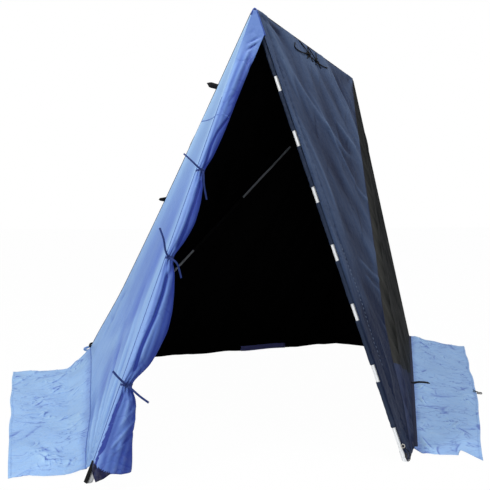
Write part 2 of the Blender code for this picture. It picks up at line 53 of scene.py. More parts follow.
def new_object(name, data):
    """An object linked into the scene."""
    made = bpy.data.objects.new(name, data)
    bpy.context.scene.collection.objects.link(made)
    return made


camera_data = bpy.data.cameras.new("camera")
camera_data.sensor_width = 36.0
camera_data.lens = 41.143
camera = new_object("camera", camera_data)
camera.location = (-0.678, -3.508, 1.109)
camera.rotation_euler = (math.radians(86.424), 0.0, math.radians(-8.162))
bpy.context.scene.camera = camera

# Left wall: a panel of pale blue coated polyester, cut as a triangle and felled to the door in
# front and to the dark roof behind. The frame stretches it, so it hangs in long soft bands, with
# pleats that run into the foot of the pole and one seam across where two widths are joined.
CLOTH_THICKNESS = 0.0009
WELD = 0.002
POLE_REACH = 0.035
ROUNDED_ABOVE = 2.083
UP = np.array([0.0, 0.0, 1.0])
GROUND = (UP, 0.0)


def unit(vector):
    """The vector's direction, at length one."""
    return vector / np.linalg.norm(vector)


def span(line):
    """The length of a line of points."""
    return float(np.linalg.norm(np.diff(line, axis=0), axis=1).sum())


def travelled(line):
    """The way along a line of points up to each of them."""
    return np.concatenate([[0.0], np.cumsum(np.linalg.norm(np.diff(line, axis=0), axis=1))])


def cad_points(node):
    return np.array([vertex.co[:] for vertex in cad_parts[node].data.vertices])


INSIDE = cad_points("right_front_wall").mean(axis=0) + np.array([-0.30, 0.30, -0.40])


def wall_plane(node):
    """The middle plane of a flat packed wall, as its outward normal and its distance."""
    points = cad_points(node)
    middle = points.mean(axis=0)
    normal = np.linalg.svd(points - middle, full_matrices=False)[2][2]
    if normal @ (INSIDE - middle) > 0.0:
        normal = -normal
    return normal, normal @ middle


def meet(*planes):
    """The corner that three planes share."""
    normals, distances = zip(*planes)
    return np.linalg.solve(np.array(normals), np.array(distances))


def up_edge(foot, top, height):
    """The point of an edge that lies at a height."""
    return foot + (top - foot) * (height - foot[2]) / (top[2] - foot[2])


FRONT = wall_plane("gable")
LEFT = wall_plane("left_wall")
ROOF = wall_plane("left_roof")
RIGHT = wall_plane("right_front_wall")
APEX = meet(FRONT, LEFT, RIGHT)
LEFT_FOOT = meet(FRONT, LEFT, GROUND)
REAR_LEFT = meet(LEFT, ROOF, GROUND)
HEM_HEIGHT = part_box("left_roof")[0][2]
HEM_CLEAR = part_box("left_wall")[0][2] + CLOTH_THICKNESS
LEFT_REAR_HEM = up_edge(REAR_LEFT, APEX, HEM_HEIGHT)


def smooth(value):
    """0 below 0, 1 above 1, and a soft step between."""
    value = np.clip(value, 0.0, 1.0)
    return value * value * (3.0 - 2.0 * value)


def along(line, shares):
    """Points at shares of the length of a line of points."""
    line = np.asarray(line, dtype=float)
    if len(line) == 1:
        return np.repeat(line, len(shares), axis=0)
    lengths = travelled(line)
    return np.stack([np.interp(shares * lengths[-1], lengths, line[:, axis]) for axis in range(3)], axis=1)


def rounded(points):
    """The points, flattened a little where they would rise past the apex, which the pole joint rounds."""
    points = np.array(points)
    points[..., 2] -= 0.6 * np.maximum(points[..., 2] - ROUNDED_ABOVE, 0.0)
    return points


def add_piece(name, shape, materials, replaced=()):
    """Makes a piece of a bmesh, with its finish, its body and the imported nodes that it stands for."""
    mesh = bpy.data.meshes.new(name)
    shape.to_mesh(mesh)
    shape.free()
    mesh.shade_smooth()
    for material in materials:
        mesh.materials.append(material)
    piece = new_object(name, mesh)
    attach(piece, "root")
    if replaced:
        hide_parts(*replaced)
    return piece


def thicken(piece, linings=0):
    """Gives a sheet its thickness, with the lining's material on its inner face."""
    wall = piece.modifiers.new("cloth", "SOLIDIFY")
    wall.thickness = CLOTH_THICKNESS
    wall.offset = 0.0
    wall.material_offset = linings
    wall.material_offset_rim = 0


def close_sheet(shape, weld, look):
    """Welds a sheet and turns it over if its faces look inward on the whole; look rates each of them."""
    bmesh.ops.remove_doubles(shape, verts=shape.verts, dist=weld)
    shape.normal_update()
    if sum(look(face) for face in shape.faces) < 0.0:
        bmesh.ops.reverse_faces(shape, faces=shape.faces)
        shape.normal_update()
    return BVHTree.FromBMesh(shape)


class Cloth:
    """A panel as a grid of points between a top line and a foot line, with height off its plane.

    A spot on it is named by two of its coordinates, and the plane gives the one called solve.
    """

    def __init__(self, top, foot, columns, rows, plane, solve=0):
        self.shape = bmesh.new()
        bmesh.ops.create_grid(self.shape, x_segments=columns, y_segments=rows, size=0.5)
        flat = np.array([vertex.co[:] for vertex in self.shape.verts])
        self.across = flat[:, 0] + 0.5
        self.down = 0.5 - flat[:, 1]
        head, hem = along(top, self.across), along(foot, self.across)
        self.rest = head + (hem - head) * self.down[:, None]
        self.normal, self.distance = plane
        self.solve = solve
        self.run = unit(np.cross(UP if abs(self.normal[2]) < 0.99 else [0.0, 1.0, 0.0], self.normal))
        self.rise = np.cross(self.normal, self.run)
        self.uv = np.stack([self.rest @ self.run, self.rest @ self.rise], axis=1)
        self.height = np.zeros(len(self.rest))
        # tone is painted light and shade, added to what the folds' height paints.
        self.tone = np.zeros(len(self.rest))
        self.below_seam = np.full(len(self.rest), -1.0)
        self.shift = np.zeros_like(self.rest)

    def spot(self, place, height):
        """The point of the wall's plane at a place from front to back, or from side to side."""
        point = np.array([place, height, 0.0] if self.solve == 2 else [place, place, height])
        others = [axis for axis in range(3) if axis != self.solve]
        point[self.solve] = (self.distance - self.normal[others] @ point[others]) / self.normal[self.solve]
        return point

    def near(self, line):
        """Each point's distance from a line of spots, its side of it and its share along it."""
        line = np.array([self.spot(*spot) for spot in line])
        lengths = np.linalg.norm(np.diff(line, axis=0), axis=1)
        starts = travelled(line)
        distance = np.full(len(self.rest), np.inf)
        side, share = np.zeros(len(self.rest)), np.zeros(len(self.rest))
        for start, end, length, passed in zip(line, line[1:], lengths, starts):
            step = end - start
            part = np.clip((self.rest - start) @ step / length ** 2, 0.0, 1.0)
            gap = self.rest - start - part[:, None] * step
            away = np.linalg.norm(gap, axis=1)
            closer = away < distance
            distance[closer] = away[closer]
            side[closer] = np.sign(gap @ np.cross(self.normal, step))[closer]
            share[closer] = ((passed + part * length) / starts[-1])[closer]
        return distance, side, share

    def leaning(self, lean, stretch):
        """Places across and along a direction that leans from the upright by some degrees."""
        turn = math.radians(lean)
        side = self.uv[:, 0] * math.cos(turn) + self.uv[:, 1] * math.sin(turn)
        return side, (self.uv[:, 1] * math.cos(turn) - self.uv[:, 0] * math.sin(turn)) / stretch

    def sag(self, depth):
        """The slack of the whole panel, which hangs in between its seams."""
        self.height -= depth * np.sin(math.pi * self.across) * np.sin(math.pi * self.down) ** 0.6

    def crease(self, line, width, height, lean=0.0, taper=0.3):
        """A fold along a line: a ridge, or a hollow below zero, with a step beside it where it leans."""
        distance, side, share = self.near(line)
        ends = smooth(share / taper) * smooth((1.0 - share) / taper)
        bell = np.exp(-(distance / width) ** 2)
        self.height += ends * bell * (height + lean * side * distance / width)

    def waves(self, size, height, seed, stretch=1.0, lean=0.0, mask=1.0):
        """Soft bands of about one size, drawn out along a direction that leans."""
        draw = np.random.default_rng(seed)
        side, length = self.leaning(lean, stretch)
        total = np.zeros(len(side))
        for _ in range(9):
            heading = draw.uniform(0.0, math.pi)
            pace = 2.0 * math.pi / size * draw.uniform(0.6, 1.5)
            total += np.sin(pace * (side * math.cos(heading) + length * math.sin(heading))
                            + draw.uniform(0.0, 2.0 * math.pi))
        self.height += mask * height * total / 3.0

    def crumple(self, size, height, seed, stretch=1.0, lean=0.0, mask=1.0):
        """Pressed creases: shallow facets of about one size that meet at ridges."""
        draw = np.random.default_rng(seed)
        spots = np.stack(self.leaning(lean, stretch), axis=1)
        low, high = spots.min(axis=0) - size, spots.max(axis=0) + size
        count = int(np.prod((high - low) / size))
        seeds = draw.uniform(low, high, (count, 2))
        lift = draw.uniform(0.3, 1.0, count)
        gaps = np.linalg.norm(spots[:, None, :] - seeds[None, :, :], axis=2)
        order = np.argsort(gaps, axis=1)[:, :2]
        rows = np.arange(len(spots))
        first, second = gaps[rows, order[:, 0]], gaps[rows, order[:, 1]]
        ridge = np.exp(-((second - first) / (0.35 * size)) ** 2)
        self.height += mask * height * ridge * lift[order[:, 0]] * lift[order[:, 1]]

    def darts(self, count, size, height, seed, lean=0.0, spread=35.0, mask=1.0):
        """Creases kept from packing: short, sharp, one side steep, with painted shade at its foot."""
        draw = np.random.default_rng(seed)
        low, high = self.uv.min(axis=0), self.uv.max(axis=0)
        total, shade = np.zeros(len(self.uv)), np.zeros(len(self.uv))
        for _ in range(count):
            turn = math.radians(lean + draw.normal(0.0, spread))
            gap = self.uv - draw.uniform(low, high)
            reach = (gap @ np.array([math.cos(turn), math.sin(turn)])) / (size * draw.uniform(0.25, 0.6))
            off = gap @ np.array([-math.sin(turn), math.cos(turn)])
            off += draw.uniform(-0.08, 0.08) * size * reach ** 2
            steep = size * draw.uniform(0.035, 0.06)
            gentle = 2.6 * steep
            bell = np.where(off > 0.0, np.exp(-np.maximum(off, 0.0) / gentle), np.exp(-(off / steep) ** 2))
            total += height * draw.choice([-0.5, 0.6, 1.0]) * bell * np.exp(-reach ** 4)
            shade += 1.4 * height * np.exp(-((off + 1.2 * steep) / (0.8 * steep)) ** 2 - reach ** 4)
        self.height += mask * total
        self.tone -= mask * shade

    def fan(self, centre, reach, folds, height, turn=0.0):
        """Pleats that spread from a corner and die out at their reach."""
        gap = self.rest - self.spot(*centre)
        radius = np.linalg.norm(gap, axis=1)
        heading = np.arctan2(gap @ self.run, gap @ self.rise)
        fade = np.exp(-(radius / reach) ** 2) * smooth(radius / (0.25 * reach))
        self.height += height * fade * np.cos(folds * heading + turn)

    def puckers(self, line, pitch, reach, height, seed):
        """Small gathers along a seam."""
        distance, _, share = self.near(line)
        draw = np.random.default_rng(seed)
        length = span(np.array([self.spot(*spot) for spot in line]))
        wobble = np.sin(share * length / pitch * 1.7 + draw.uniform(0.0, 6.0))
        pulse = np.sin(share * length / pitch * 2.0 * math.pi + 1.5 * wobble)
        self.height += height * pulse * np.exp(-(distance / reach) ** 2)

    def hold_edges(self, margin, sides="lrtb", pole=""):
        """Fades the height to nothing at the seams, and keeps the cloth from sinking into a pole there."""
        for key in sides:
            place, along_it = (self.across, self.down) if key in "lr" else (self.down, self.across)
            chosen = np.abs(place - (key in "rb")) < 1e-6
            border = self.rest[chosen][np.argsort(along_it[chosen])]
            order = np.rint(along_it * (len(border) - 1)).astype(int)
            away = np.linalg.norm(self.rest - border[order], axis=1)
            self.height *= smooth(away / margin)
            if key in pole:
                sunk = self.height < 0.0
                self.height[sunk] *= smooth((away[sunk] - POLE_REACH) / POLE_REACH)

    def settled(self):
        """The points with their height and shift."""
        return rounded(self.rest + self.height[:, None] * self.normal + self.shift)

    def edge(self, limit, values):
        """The finished points along one edge of the panel, in order."""
        chosen = np.abs(limit) < 1e-6
        return self.settled()[chosen][np.argsort(values[chosen])]

    def foot(self):
        return self.edge(self.down - 1.0, self.across)

    def touch(self, point, lift=0.0):
        """The nearest point of the finished cloth and its outward direction there."""
        place, normal = self.surface.find_nearest(Vector(point))[:2]
        if normal.dot(Vector(self.normal)) < 0.0:
            normal = -normal
        return np.array(place) + lift * np.array(normal), np.array(normal)

    def make(self, name, materials, slot, replaced=()):
        """Turns the panel into a piece with a lining, and keeps its surface for what is sewn to it."""
        fold = self.shape.verts.layers.float.new("fold")
        seam = self.shape.verts.layers.float.new("below_seam")
        weave = self.shape.loops.layers.uv.new("weave")
        # The fold attribute holds height and tone, which the material paints as shade in hollows and
        # highlight on ridges.
        values = zip(self.settled(), self.height + self.tone, self.below_seam)
        for vertex, (point, depth, under) in zip(self.shape.verts, values):
            vertex.co = point
            vertex[fold] = depth
            vertex[seam] = under
        self.shape.verts.index_update()
        for face in self.shape.faces:
            for loop in face.loops:
                loop[weave].uv = self.uv[loop.vert.index]
        out = Vector(self.normal)
        self.surface = close_sheet(self.shape, WELD, lambda face: face.normal.dot(out) * face.calc_area())
        piece = add_piece(name, self.shape, materials, replaced)
        thicken(piece, len(materials) - 1)
        return piece


def panel_area(*corners):
    """The area of a flat panel with these corners."""
    corners = np.array(corners)
    total = np.zeros(3)
    for before, after in zip(corners, np.roll(corners, -1, axis=0)):
        total += np.cross(before, after)
    return float(np.linalg.norm(total) / 2.0)


def hang_wall(cloth, name, material, slot, replaced, corners):
    """Makes a lined wall, and works out its panel's area, which is not kept."""
    piece = cloth.make(name, [material, LINING], slot, [replaced])
    panel_area(*corners)
    return piece


def feed(tree, node, values):
    """Gives a node's inputs their values: numbers, colours or the outputs of other nodes."""
    for key, value in dict(values).items():
        if isinstance(value, bpy.types.NodeSocket):
            tree.links.new(value, node.inputs[key])
        else:
            node.inputs[key].default_value = value


def new_node(tree, kind, values=(), **settings):
    """A shader or geometry node with its settings and the values of its inputs."""
    made = tree.nodes.new(tree.bl_idname.removesuffix("Tree") + kind)
    for key, value in settings.items():
        setattr(made, key, value)
    feed(tree, made, values)
    return made


def wired(tree, kind, values=(), output=0, **settings):
    """One output of a new node."""
    return new_node(tree, kind, values, **settings).outputs[output]


def maths(tree, operation, *values, **settings):
    return wired(tree, "Math", dict(enumerate(values)), operation=operation, **settings)


def noise(tree, place, scale, detail, roughness=0.5, output=0):
    """Cloudy noise over the piece."""
    values = {"Vector": place, "Scale": scale, "Detail": detail, "Roughness": roughness}
    return wired(tree, "TexNoise", values, output)


def ranged(tree, value, low, high, start=0.0, end=1.0):
    """A value that runs from start to end, mapped to run from low to high and held there."""
    values = {"Value": value, "From Min": start, "From Max": end, "To Min": low, "To Max": high}
    return wired(tree, "MapRange", values)


def mixed(tree, share, first, second):
    return wired(tree, "Mix", {"Factor": share, "A": first, "B": second}, "Result", data_type="RGBA")


def bumped(tree, height, strength, distance, beneath=None):
    """The surface's normal, raised by a height over the relief beneath it."""
    values = {"Height": height, "Strength": strength, "Distance": distance}
    if beneath:
        values["Normal"] = beneath
    return wired(tree, "Bump", values)


def new_group(name, kind, inputs, outputs):
    """A node group with named sockets, the outputs of its entry and the node at its exit."""
    group = bpy.data.node_groups.new(name, kind + "NodeTree")
    for label, socket, value in inputs:
        made = group.interface.new_socket(label, in_out="INPUT", socket_type="NodeSocket" + socket)
        if value is not None:
            made.default_value = value
    for label, socket in outputs:
        group.interface.new_socket(label, in_out="OUTPUT", socket_type="NodeSocket" + socket)
    return group, group.nodes.new("NodeGroupInput").outputs, group.nodes.new("NodeGroupOutput")


def threads_group():
    """Crossed threads of a plain weave, as a height."""
    group, given, exit_node = new_group(
        "woven_threads", "Shader", (("Vector", "Vector", None), ("Threads per Metre", "Float", 1500.0)),
        (("Height", "Float"),))
    scaled = wired(group, "VectorMath", {0: given["Vector"], "Scale": given["Threads per Metre"]},
                   operation="SCALE")
    places = new_node(group, "SeparateXYZ", {0: scaled}).outputs
    threads = [maths(group, "ABSOLUTE", maths(group, "SINE", maths(group, "MULTIPLY", places[axis], math.pi)))
               for axis in "XY"]
    feed(group, exit_node, {"Height": maths(group, "MULTIPLY", *threads)})
    return group


def handling_group():
    """What use does to the cloth: uneven fading, pressed facets, thin wrinkles, and dust near the ground."""
    group, given, exit_node = new_group(
        "cloth_handling", "Shader",
        (("Vector", "Vector", None), ("Crumple Size", "Float", 0.05), ("Low Edge", "Float", 0.25)),
        (("Fading", "Float"), ("Crumples", "Float"), ("Wrinkles", "Float"), ("Dust", "Float")))
    place = given["Vector"]
    bend = noise(group, place, 9.0, 2.0, output="Color")
    bent = wired(group, "VectorMath", {0: bend, 1: (0.06, 0.06, 0.06), 2: place}, operation="MULTIPLY_ADD")
    pace = maths(group, "DIVIDE", 1.0, given["Crumple Size"])
    facets = wired(group, "TexVoronoi", {"Vector": bent, "Scale": pace}, "Distance",
                   feature="DISTANCE_TO_EDGE")
    drawn = wired(group, "Mapping", {"Vector": bent, "Rotation": (0.0, 0.0, math.radians(38.0)),
                                     "Scale": (1.0, 2.4, 1.0)})
    level = maths(group, "SUBTRACT", noise(group, drawn, 8.0, 2.5, 0.55), 0.5)
    line = ranged(group, maths(group, "ABSOLUTE", level), 1.0, 0.0, end=0.026)
    patches = ranged(group, noise(group, place, 4.6, 1.0), 0.25, 1.0, 0.42, 0.66)
    height = new_node(group, "SeparateXYZ", {0: place}).outputs["Z"]
    low = ranged(group, height, 1.0, 0.0, end=given["Low Edge"])
    specks = ranged(group, noise(group, place, 38.0, 5.0, 0.7), 0.0, 1.0, 0.48, 0.75)
    feed(group, exit_node, {
        "Fading": noise(group, place, 2.2, 4.0, 0.55),
        "Crumples": maths(group, "POWER", facets, 0.5),
        "Wrinkles": maths(group, "MULTIPLY", line, patches),
        "Dust": maths(group, "MULTIPLY", low, specks, use_clamp=True)})
    return group


THREADS = threads_group()
HANDLING = handling_group()
DUST = (0.52, 0.50, 0.45, 1.0)


def shade_ramp(tree, depth, shade, colour, pale):
    """A cloth's colour by its depth: painted shade in its hollows and painted highlight on its ridges."""
    ramp = new_node(tree, "ValToRGB", {"Fac": depth})
    ramp.color_ramp.elements[0].color = (*shade, 1.0)
    ramp.color_ramp.elements[1].color = (*pale, 1.0)
    ramp.color_ramp.elements.new(0.5).color = (*colour, 1.0)
    return ramp.outputs["Color"]


def new_material(name):
    """A material, its node tree and the piece's own coordinates in it."""
    material = bpy.data.materials.new(name)
    material.use_nodes = True
    tree = material.node_tree
    return material, tree, wired(tree, "TexCoord", output="Object")


def coat(material, values):
    """Feeds a material's shader."""
    feed(material.node_tree, material.node_tree.nodes["Principled BSDF"], values)
    return material


def cloth_material(name, colour, shade, pale, roughness, sheen, hollow=0.012, crumples=0.35, specular=0.4,
                   crumple_size=0.05, wrinkles=0.0, below=()):
    """Coated cloth: painted highlight on ridges, painted shade in hollows and thin wrinkles,
    with weave, pressed creases, fading and dust.

    Where another cloth is sewn on below a seam, below holds the three colours of that cloth.
    """
    material, tree, place = new_material(name)
    weave = wired(tree, "UVMap", uv_map="weave")
    threads = wired(tree, "Group", {"Vector": weave}, "Height", node_tree=THREADS)
    handling = new_node(tree, "Group", {"Vector": place, "Crumple Size": crumple_size},
                        node_tree=HANDLING).outputs
    fold = wired(tree, "Attribute", output="Fac", attribute_name="fold")
    # The thin wrinkles deepen the fold, so they are painted as thin lines of shade.
    creased = maths(tree, "MULTIPLY_ADD", handling["Wrinkles"], -wrinkles, fold)
    depth = ranged(tree, creased, 0.0, 1.0, -hollow, hollow)
    painted_shading = shade_ramp(tree, depth, shade, colour, pale)
    if below:
        under = wired(tree, "Attribute", output="Fac", attribute_name="below_seam")
        sewn_on = ranged(tree, under, 0.0, 1.0, 0.0005, 0.0035)
        painted_shading = mixed(tree, sewn_on, painted_shading, shade_ramp(tree, depth, *below))
    tone = ranged(tree, handling["Fading"], 0.93, 1.06, 0.3, 0.7)
    faded = wired(tree, "VectorMath", {0: painted_shading, "Scale": tone}, operation="SCALE")
    relief = maths(tree, "SUBTRACT", handling["Crumples"], handling["Wrinkles"])
    return coat(material, {
        "Specular IOR Level": specular, "Sheen Weight": sheen, "Sheen Roughness": 0.45,
        "Base Color": mixed(tree, maths(tree, "MULTIPLY", handling["Dust"], 0.12), faded, DUST),
        "Roughness": ranged(tree, handling["Fading"], roughness - 0.06, roughness + 0.08),
        "Normal": bumped(tree, threads, 0.12, 0.0003, bumped(tree, relief, crumples, 0.006))})


def lining_material():
    """The coated inner face, near black: a dark coating, made darker than cloth so that it also paints the
    shade inside.
    """
    material, tree, place = new_material("lining_black")
    fading = wired(tree, "Group", {"Vector": place}, "Fading", node_tree=HANDLING)
    shades = new_node(tree, "ValToRGB", {"Fac": fading})
    shades.color_ramp.elements[0].color = (0.0022, 0.0022, 0.0024, 1.0)
    shades.color_ramp.elements[1].color = (0.0042, 0.0042, 0.0044, 1.0)
    return coat(material, {"Specular IOR Level": 0.06, "Base Color": shades.outputs["Color"],
                           "Roughness": ranged(tree, fading, 0.62, 0.80)})


CLOTH_BLUE = cloth_material("cloth_blue", (0.216, 0.368, 0.665), (0.075, 0.150, 0.500), (0.335, 0.530, 0.800),
                            0.55, 0.03, specular=0.22, wrinkles=0.0016)
LINING = lining_material()

foot_line = [up_edge(LEFT_FOOT, APEX, 0.075),
             LEFT_FOOT + (REAR_LEFT - LEFT_FOOT) * 0.05 + UP * (HEM_CLEAR + 0.012),
             up_edge(LEFT_FOOT, APEX, HEM_CLEAR) * 0.55 + LEFT_REAR_HEM * 0.45, LEFT_REAR_HEM]
left_cloth = Cloth([APEX], foot_line, 116, 176, LEFT)
left_cloth.sag(0.010)
left_cloth.waves(0.42, 0.0020, 11, 7.0, -16.0, smooth(left_cloth.down * 2.0 - 0.3))
left_cloth.waves(0.12, 0.0007, 12, 6.0, -16.0, smooth(left_cloth.down * 2.2 - 0.8))
for fold in (([(-0.62, 2.02), (-0.40, 1.72), (-0.34, 1.22), (-0.20, 0.81)], 0.07, 0.0035),
             ([(-0.10, 0.66), (0.05, 0.56), (0.20, 0.52)], 0.024, -0.003, 0.005),
             ([(0.02, 0.45), (0.10, 0.40), (0.26, 0.40)], 0.022, -0.003, 0.005),
             ([(0.02, 0.61), (0.08, 0.51), (0.10, 0.22)], 0.04, -0.002, 0.003),
             ([(-1.00, 0.62), (-0.50, 0.40), (0.10, 0.20)], 0.06, 0.003, -0.002)):
    left_cloth.crease(*fold)
for pleats in (((-1.23, 0.03), 0.64, 23.0, 0.0064), ((-1.23, 0.03), 0.48, 37.0, 0.0042, 1.3),
               ((-0.73, 2.11), 0.36, 15.0, 0.0020), ((0.55, 0.13), 0.24, 11.0, 0.0050)):
    left_cloth.fan(*pleats)
rear_low = smooth(left_cloth.across * 3.0 - 1.8) * np.exp(-((left_cloth.down - 0.72) / 0.16) ** 2)
left_cloth.darts(110, 0.11, 0.0045, 15, 70.0, mask=rear_low)
top_part = np.exp(-((left_cloth.down - 0.10) / 0.06) ** 2)
left_cloth.darts(50, 0.07, 0.0025, 16, 60.0, mask=top_part)
left_cloth.crumple(0.24, 0.0012, 14, 3.0, -10.0)
# Painted light: paler towards the top and, a little, towards the rear edge.
left_cloth.tone += 0.010 * smooth(1.3 - 2.2 * left_cloth.down) + 0.003 * smooth(left_cloth.across * 2.0 - 0.6)
left_cloth.hold_edges(0.016, "lr", "lr")
EDGE_IN = 0.012
CORNER_OUT = 0.020


def edge_shift(cloth, share):
    """The slanting rear edge is drawn in along its middle and out at its lower corner."""
    pull = (EDGE_IN * np.sin(math.pi * cloth.down) - CORNER_OUT * smooth(cloth.down * 4.0 - 3.0)) * share ** 3
    return pull[:, None] * -unit(LEFT[0] + ROOF[0])


left_cloth.shift = edge_shift(left_cloth, left_cloth.across)
left_wall = hang_wall(left_cloth, "left_wall_cloth", CLOTH_BLUE, "cloth_blue", "left_wall",
                      [APEX, LEFT_FOOT, LEFT_REAR_HEM])

# Gable and door: one triangle of the same cloth, given a deeper blue than the wall as painted shade,
# with navy facings over its tip and round its foot. Above it closes the doorway. Below it is rolled
# to the left pole and pinched by three ribbons, which gathers it in long folds.
# Its colours are a darker copy of the wall's cloth: painted shade where the door faces away from the light.
CLOTH_DOOR = cloth_material("cloth_door", (0.091, 0.172, 0.485), (0.017, 0.040, 0.268), (0.225, 0.370, 0.710),
                            0.52, 0.02, hollow=0.014, crumples=0.25, specular=0.22, wrinkles=0.0045)
DOOR_FACING = cloth_material("door_facing", (0.012, 0.014, 0.052), (0.006, 0.007, 0.030),
                             (0.020, 0.030, 0.100), 0.65, 0.0, specular=0.1)
DOOR_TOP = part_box("gable")[0][2]
TIES = [tuple(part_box(f"door_tie_{number}")) for number in (1, 2, 3)]
TIE_HEIGHTS = [(low[2] + high[2]) / 2.0 - 0.004 for low, high in TIES]
DOOR_ROWS = 250
FRONT_COLUMNS = 76
ROLL_COLUMNS = 76
DOOR_WELD = 0.0004
LAYER = 0.005
CLEAR = 0.002
TIGHTEST = 0.35
LEAST_ROLL = 0.012
MOST_TURNS = 12.0
ROLL_PAINTED_SHADE = -0.02
GROUND_GAP = 0.004
RAY_START = 0.5
GATHER_REACH = 0.075
GATHER_HEIGHT = 0.0035
RIPPLE_HEIGHT = 0.0016
RIPPLE_PACE = 210.0
FOLD_FADE = 0.04
FOLD_GAIN = 1.35
ACROSS = np.array([1.0, 0.0, 0.0])
RIGHT_FOOT = meet(FRONT, RIGHT, GROUND)
DOOR_WIDTH = RIGHT_FOOT[0] - LEFT_FOOT[0]

door_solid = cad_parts["door_flap"]
door_form = BVHTree.FromPolygons([vertex.co for vertex in door_solid.data.vertices],
                                 [face.vertices for face in door_solid.data.polygons])


def door_reach(height):
    """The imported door's width and depth at a height, measured from the left pole's edge."""
    edge = Vector(up_edge(LEFT_FOOT, APEX, height))
    across, out = Vector(ACROSS), Vector(FRONT[0])
    side = door_form.ray_cast(edge + across * RAY_START + out * 0.008, -across)[0]
    if side is None:
        return None
    width = (side - edge).dot(across)
    face = door_form.ray_cast(edge + across * width / 2 + out * RAY_START, -out)[0]
    if face is None:
        return None
    return width, (face - edge).dot(out)


heights = np.linspace(APEX[2] - GROUND_GAP, GROUND_GAP, DOOR_ROWS + 1)
full_width = DOOR_WIDTH * (1.0 - heights / APEX[2])
reach = [door_reach(height) if height < DOOR_TOP else None for height in heights]
known = [index for index, found in enumerate(reach) if found]
widths, depths = full_width.copy(), np.full(len(heights), CLEAR)
for index in known:
    widths[index], depths[index] = reach[index]
widths[known[-1]:], depths[known[-1]:] = reach[known[-1]]
top_row, last_row = known[3], known[26]
free_edge = np.polyval(np.polyfit(heights[top_row:last_row], widths[top_row:last_row], 1), heights)
above = heights > heights[top_row]
widths[above] = np.minimum(full_width, free_edge)[above]
depths = CLEAR + (depths - CLEAR) * smooth((DOOR_TOP + 0.02 - heights) / 0.24)
soften = np.array([1.0, 2.0, 3.0, 2.0, 1.0]) / 9.0
for _ in range(2):
    widths[top_row:] = np.convolve(np.pad(widths, 2, mode="edge"), soften, mode="valid")[top_row:]
    depths = np.convolve(np.pad(depths, 2, mode="edge"), soften, mode="valid")


def profile(line, places):
    """What a line of (place, value) pairs gives at some places."""
    return np.interp(places, *np.array(sorted(line)).T)


def within(line, values):
    """1 at heights that a fold line spans, and 0 beyond its ends."""
    tops = [height for height, _ in line]
    return smooth((values - min(tops)) / FOLD_FADE) * smooth((max(tops) - values) / FOLD_FADE)


# Each fold is a line of (height, distance from the pole), its width, and how far it stands out.
DOOR_FOLDS = (
    ([(1.56, 0.070), (1.522, 0.063), (1.464, 0.037), (1.397, 0.030), (1.332, 0.031), (1.28, 0.032)],
     0.006, -0.014),
    ([(1.244, 0.037), (1.14, 0.044), (1.027, 0.043), (0.922, 0.031)], 0.007, -0.016),
    ([(1.244, 0.020), (1.14, 0.026), (1.027, 0.027), (0.922, 0.022)], 0.007, 0.005),
    ([(0.882, 0.016), (0.857, 0.004), (0.798, -0.004)], 0.008, -0.007),
    ([(0.84, 0.033), (0.743, 0.044), (0.64, 0.045), (0.519, 0.035), (0.449, 0.039), (0.41, 0.034)],
     0.007, -0.018),
    ([(0.84, 0.046), (0.743, 0.058), (0.64, 0.060), (0.519, 0.050), (0.449, 0.052)], 0.008, 0.006),
    ([(0.362, 0.028), (0.28, 0.020), (0.193, 0.024), (0.132, 0.024), (0.085, 0.010)], 0.008, -0.014),
    ([(0.350, 0.050), (0.28, 0.062), (0.193, 0.075), (0.10, 0.088)], 0.012, 0.006),
    ([(0.26, 0.118), (0.20, 0.088), (0.12, 0.048)], 0.007, 0.006),
    ([(0.17, 0.122), (0.13, 0.092), (0.09, 0.052)], 0.006, 0.005),
    ([(0.31, 0.104), (0.27, 0.082), (0.21, 0.050)], 0.006, 0.005),
    ([(0.22, 0.135), (0.16, 0.108), (0.11, 0.080)], 0.006, -0.006),
    ([(1.90, 0.050), (1.75, 0.040), (1.62, 0.046)], 0.012, 0.003),
    ([(1.995, 0.062), (1.982, 0.039), (1.955, 0.020)], 0.008, -0.0060),
    ([(1.960, 0.095), (1.931, 0.056), (1.900, 0.018)], 0.009, -0.0070),
    ([(1.945, 0.100), (1.918, 0.066), (1.880, 0.030)], 0.008, 0.0060),
    ([(1.925, 0.090), (1.895, 0.056), (1.850, 0.030)], 0.009, -0.0060),
    ([(1.83, 0.075), (1.76, 0.090), (1.68, 0.088)], 0.006, -0.0045),
    ([(1.88, 0.066), (1.74, 0.058), (1.60, 0.056)], 0.010, -0.004),
)


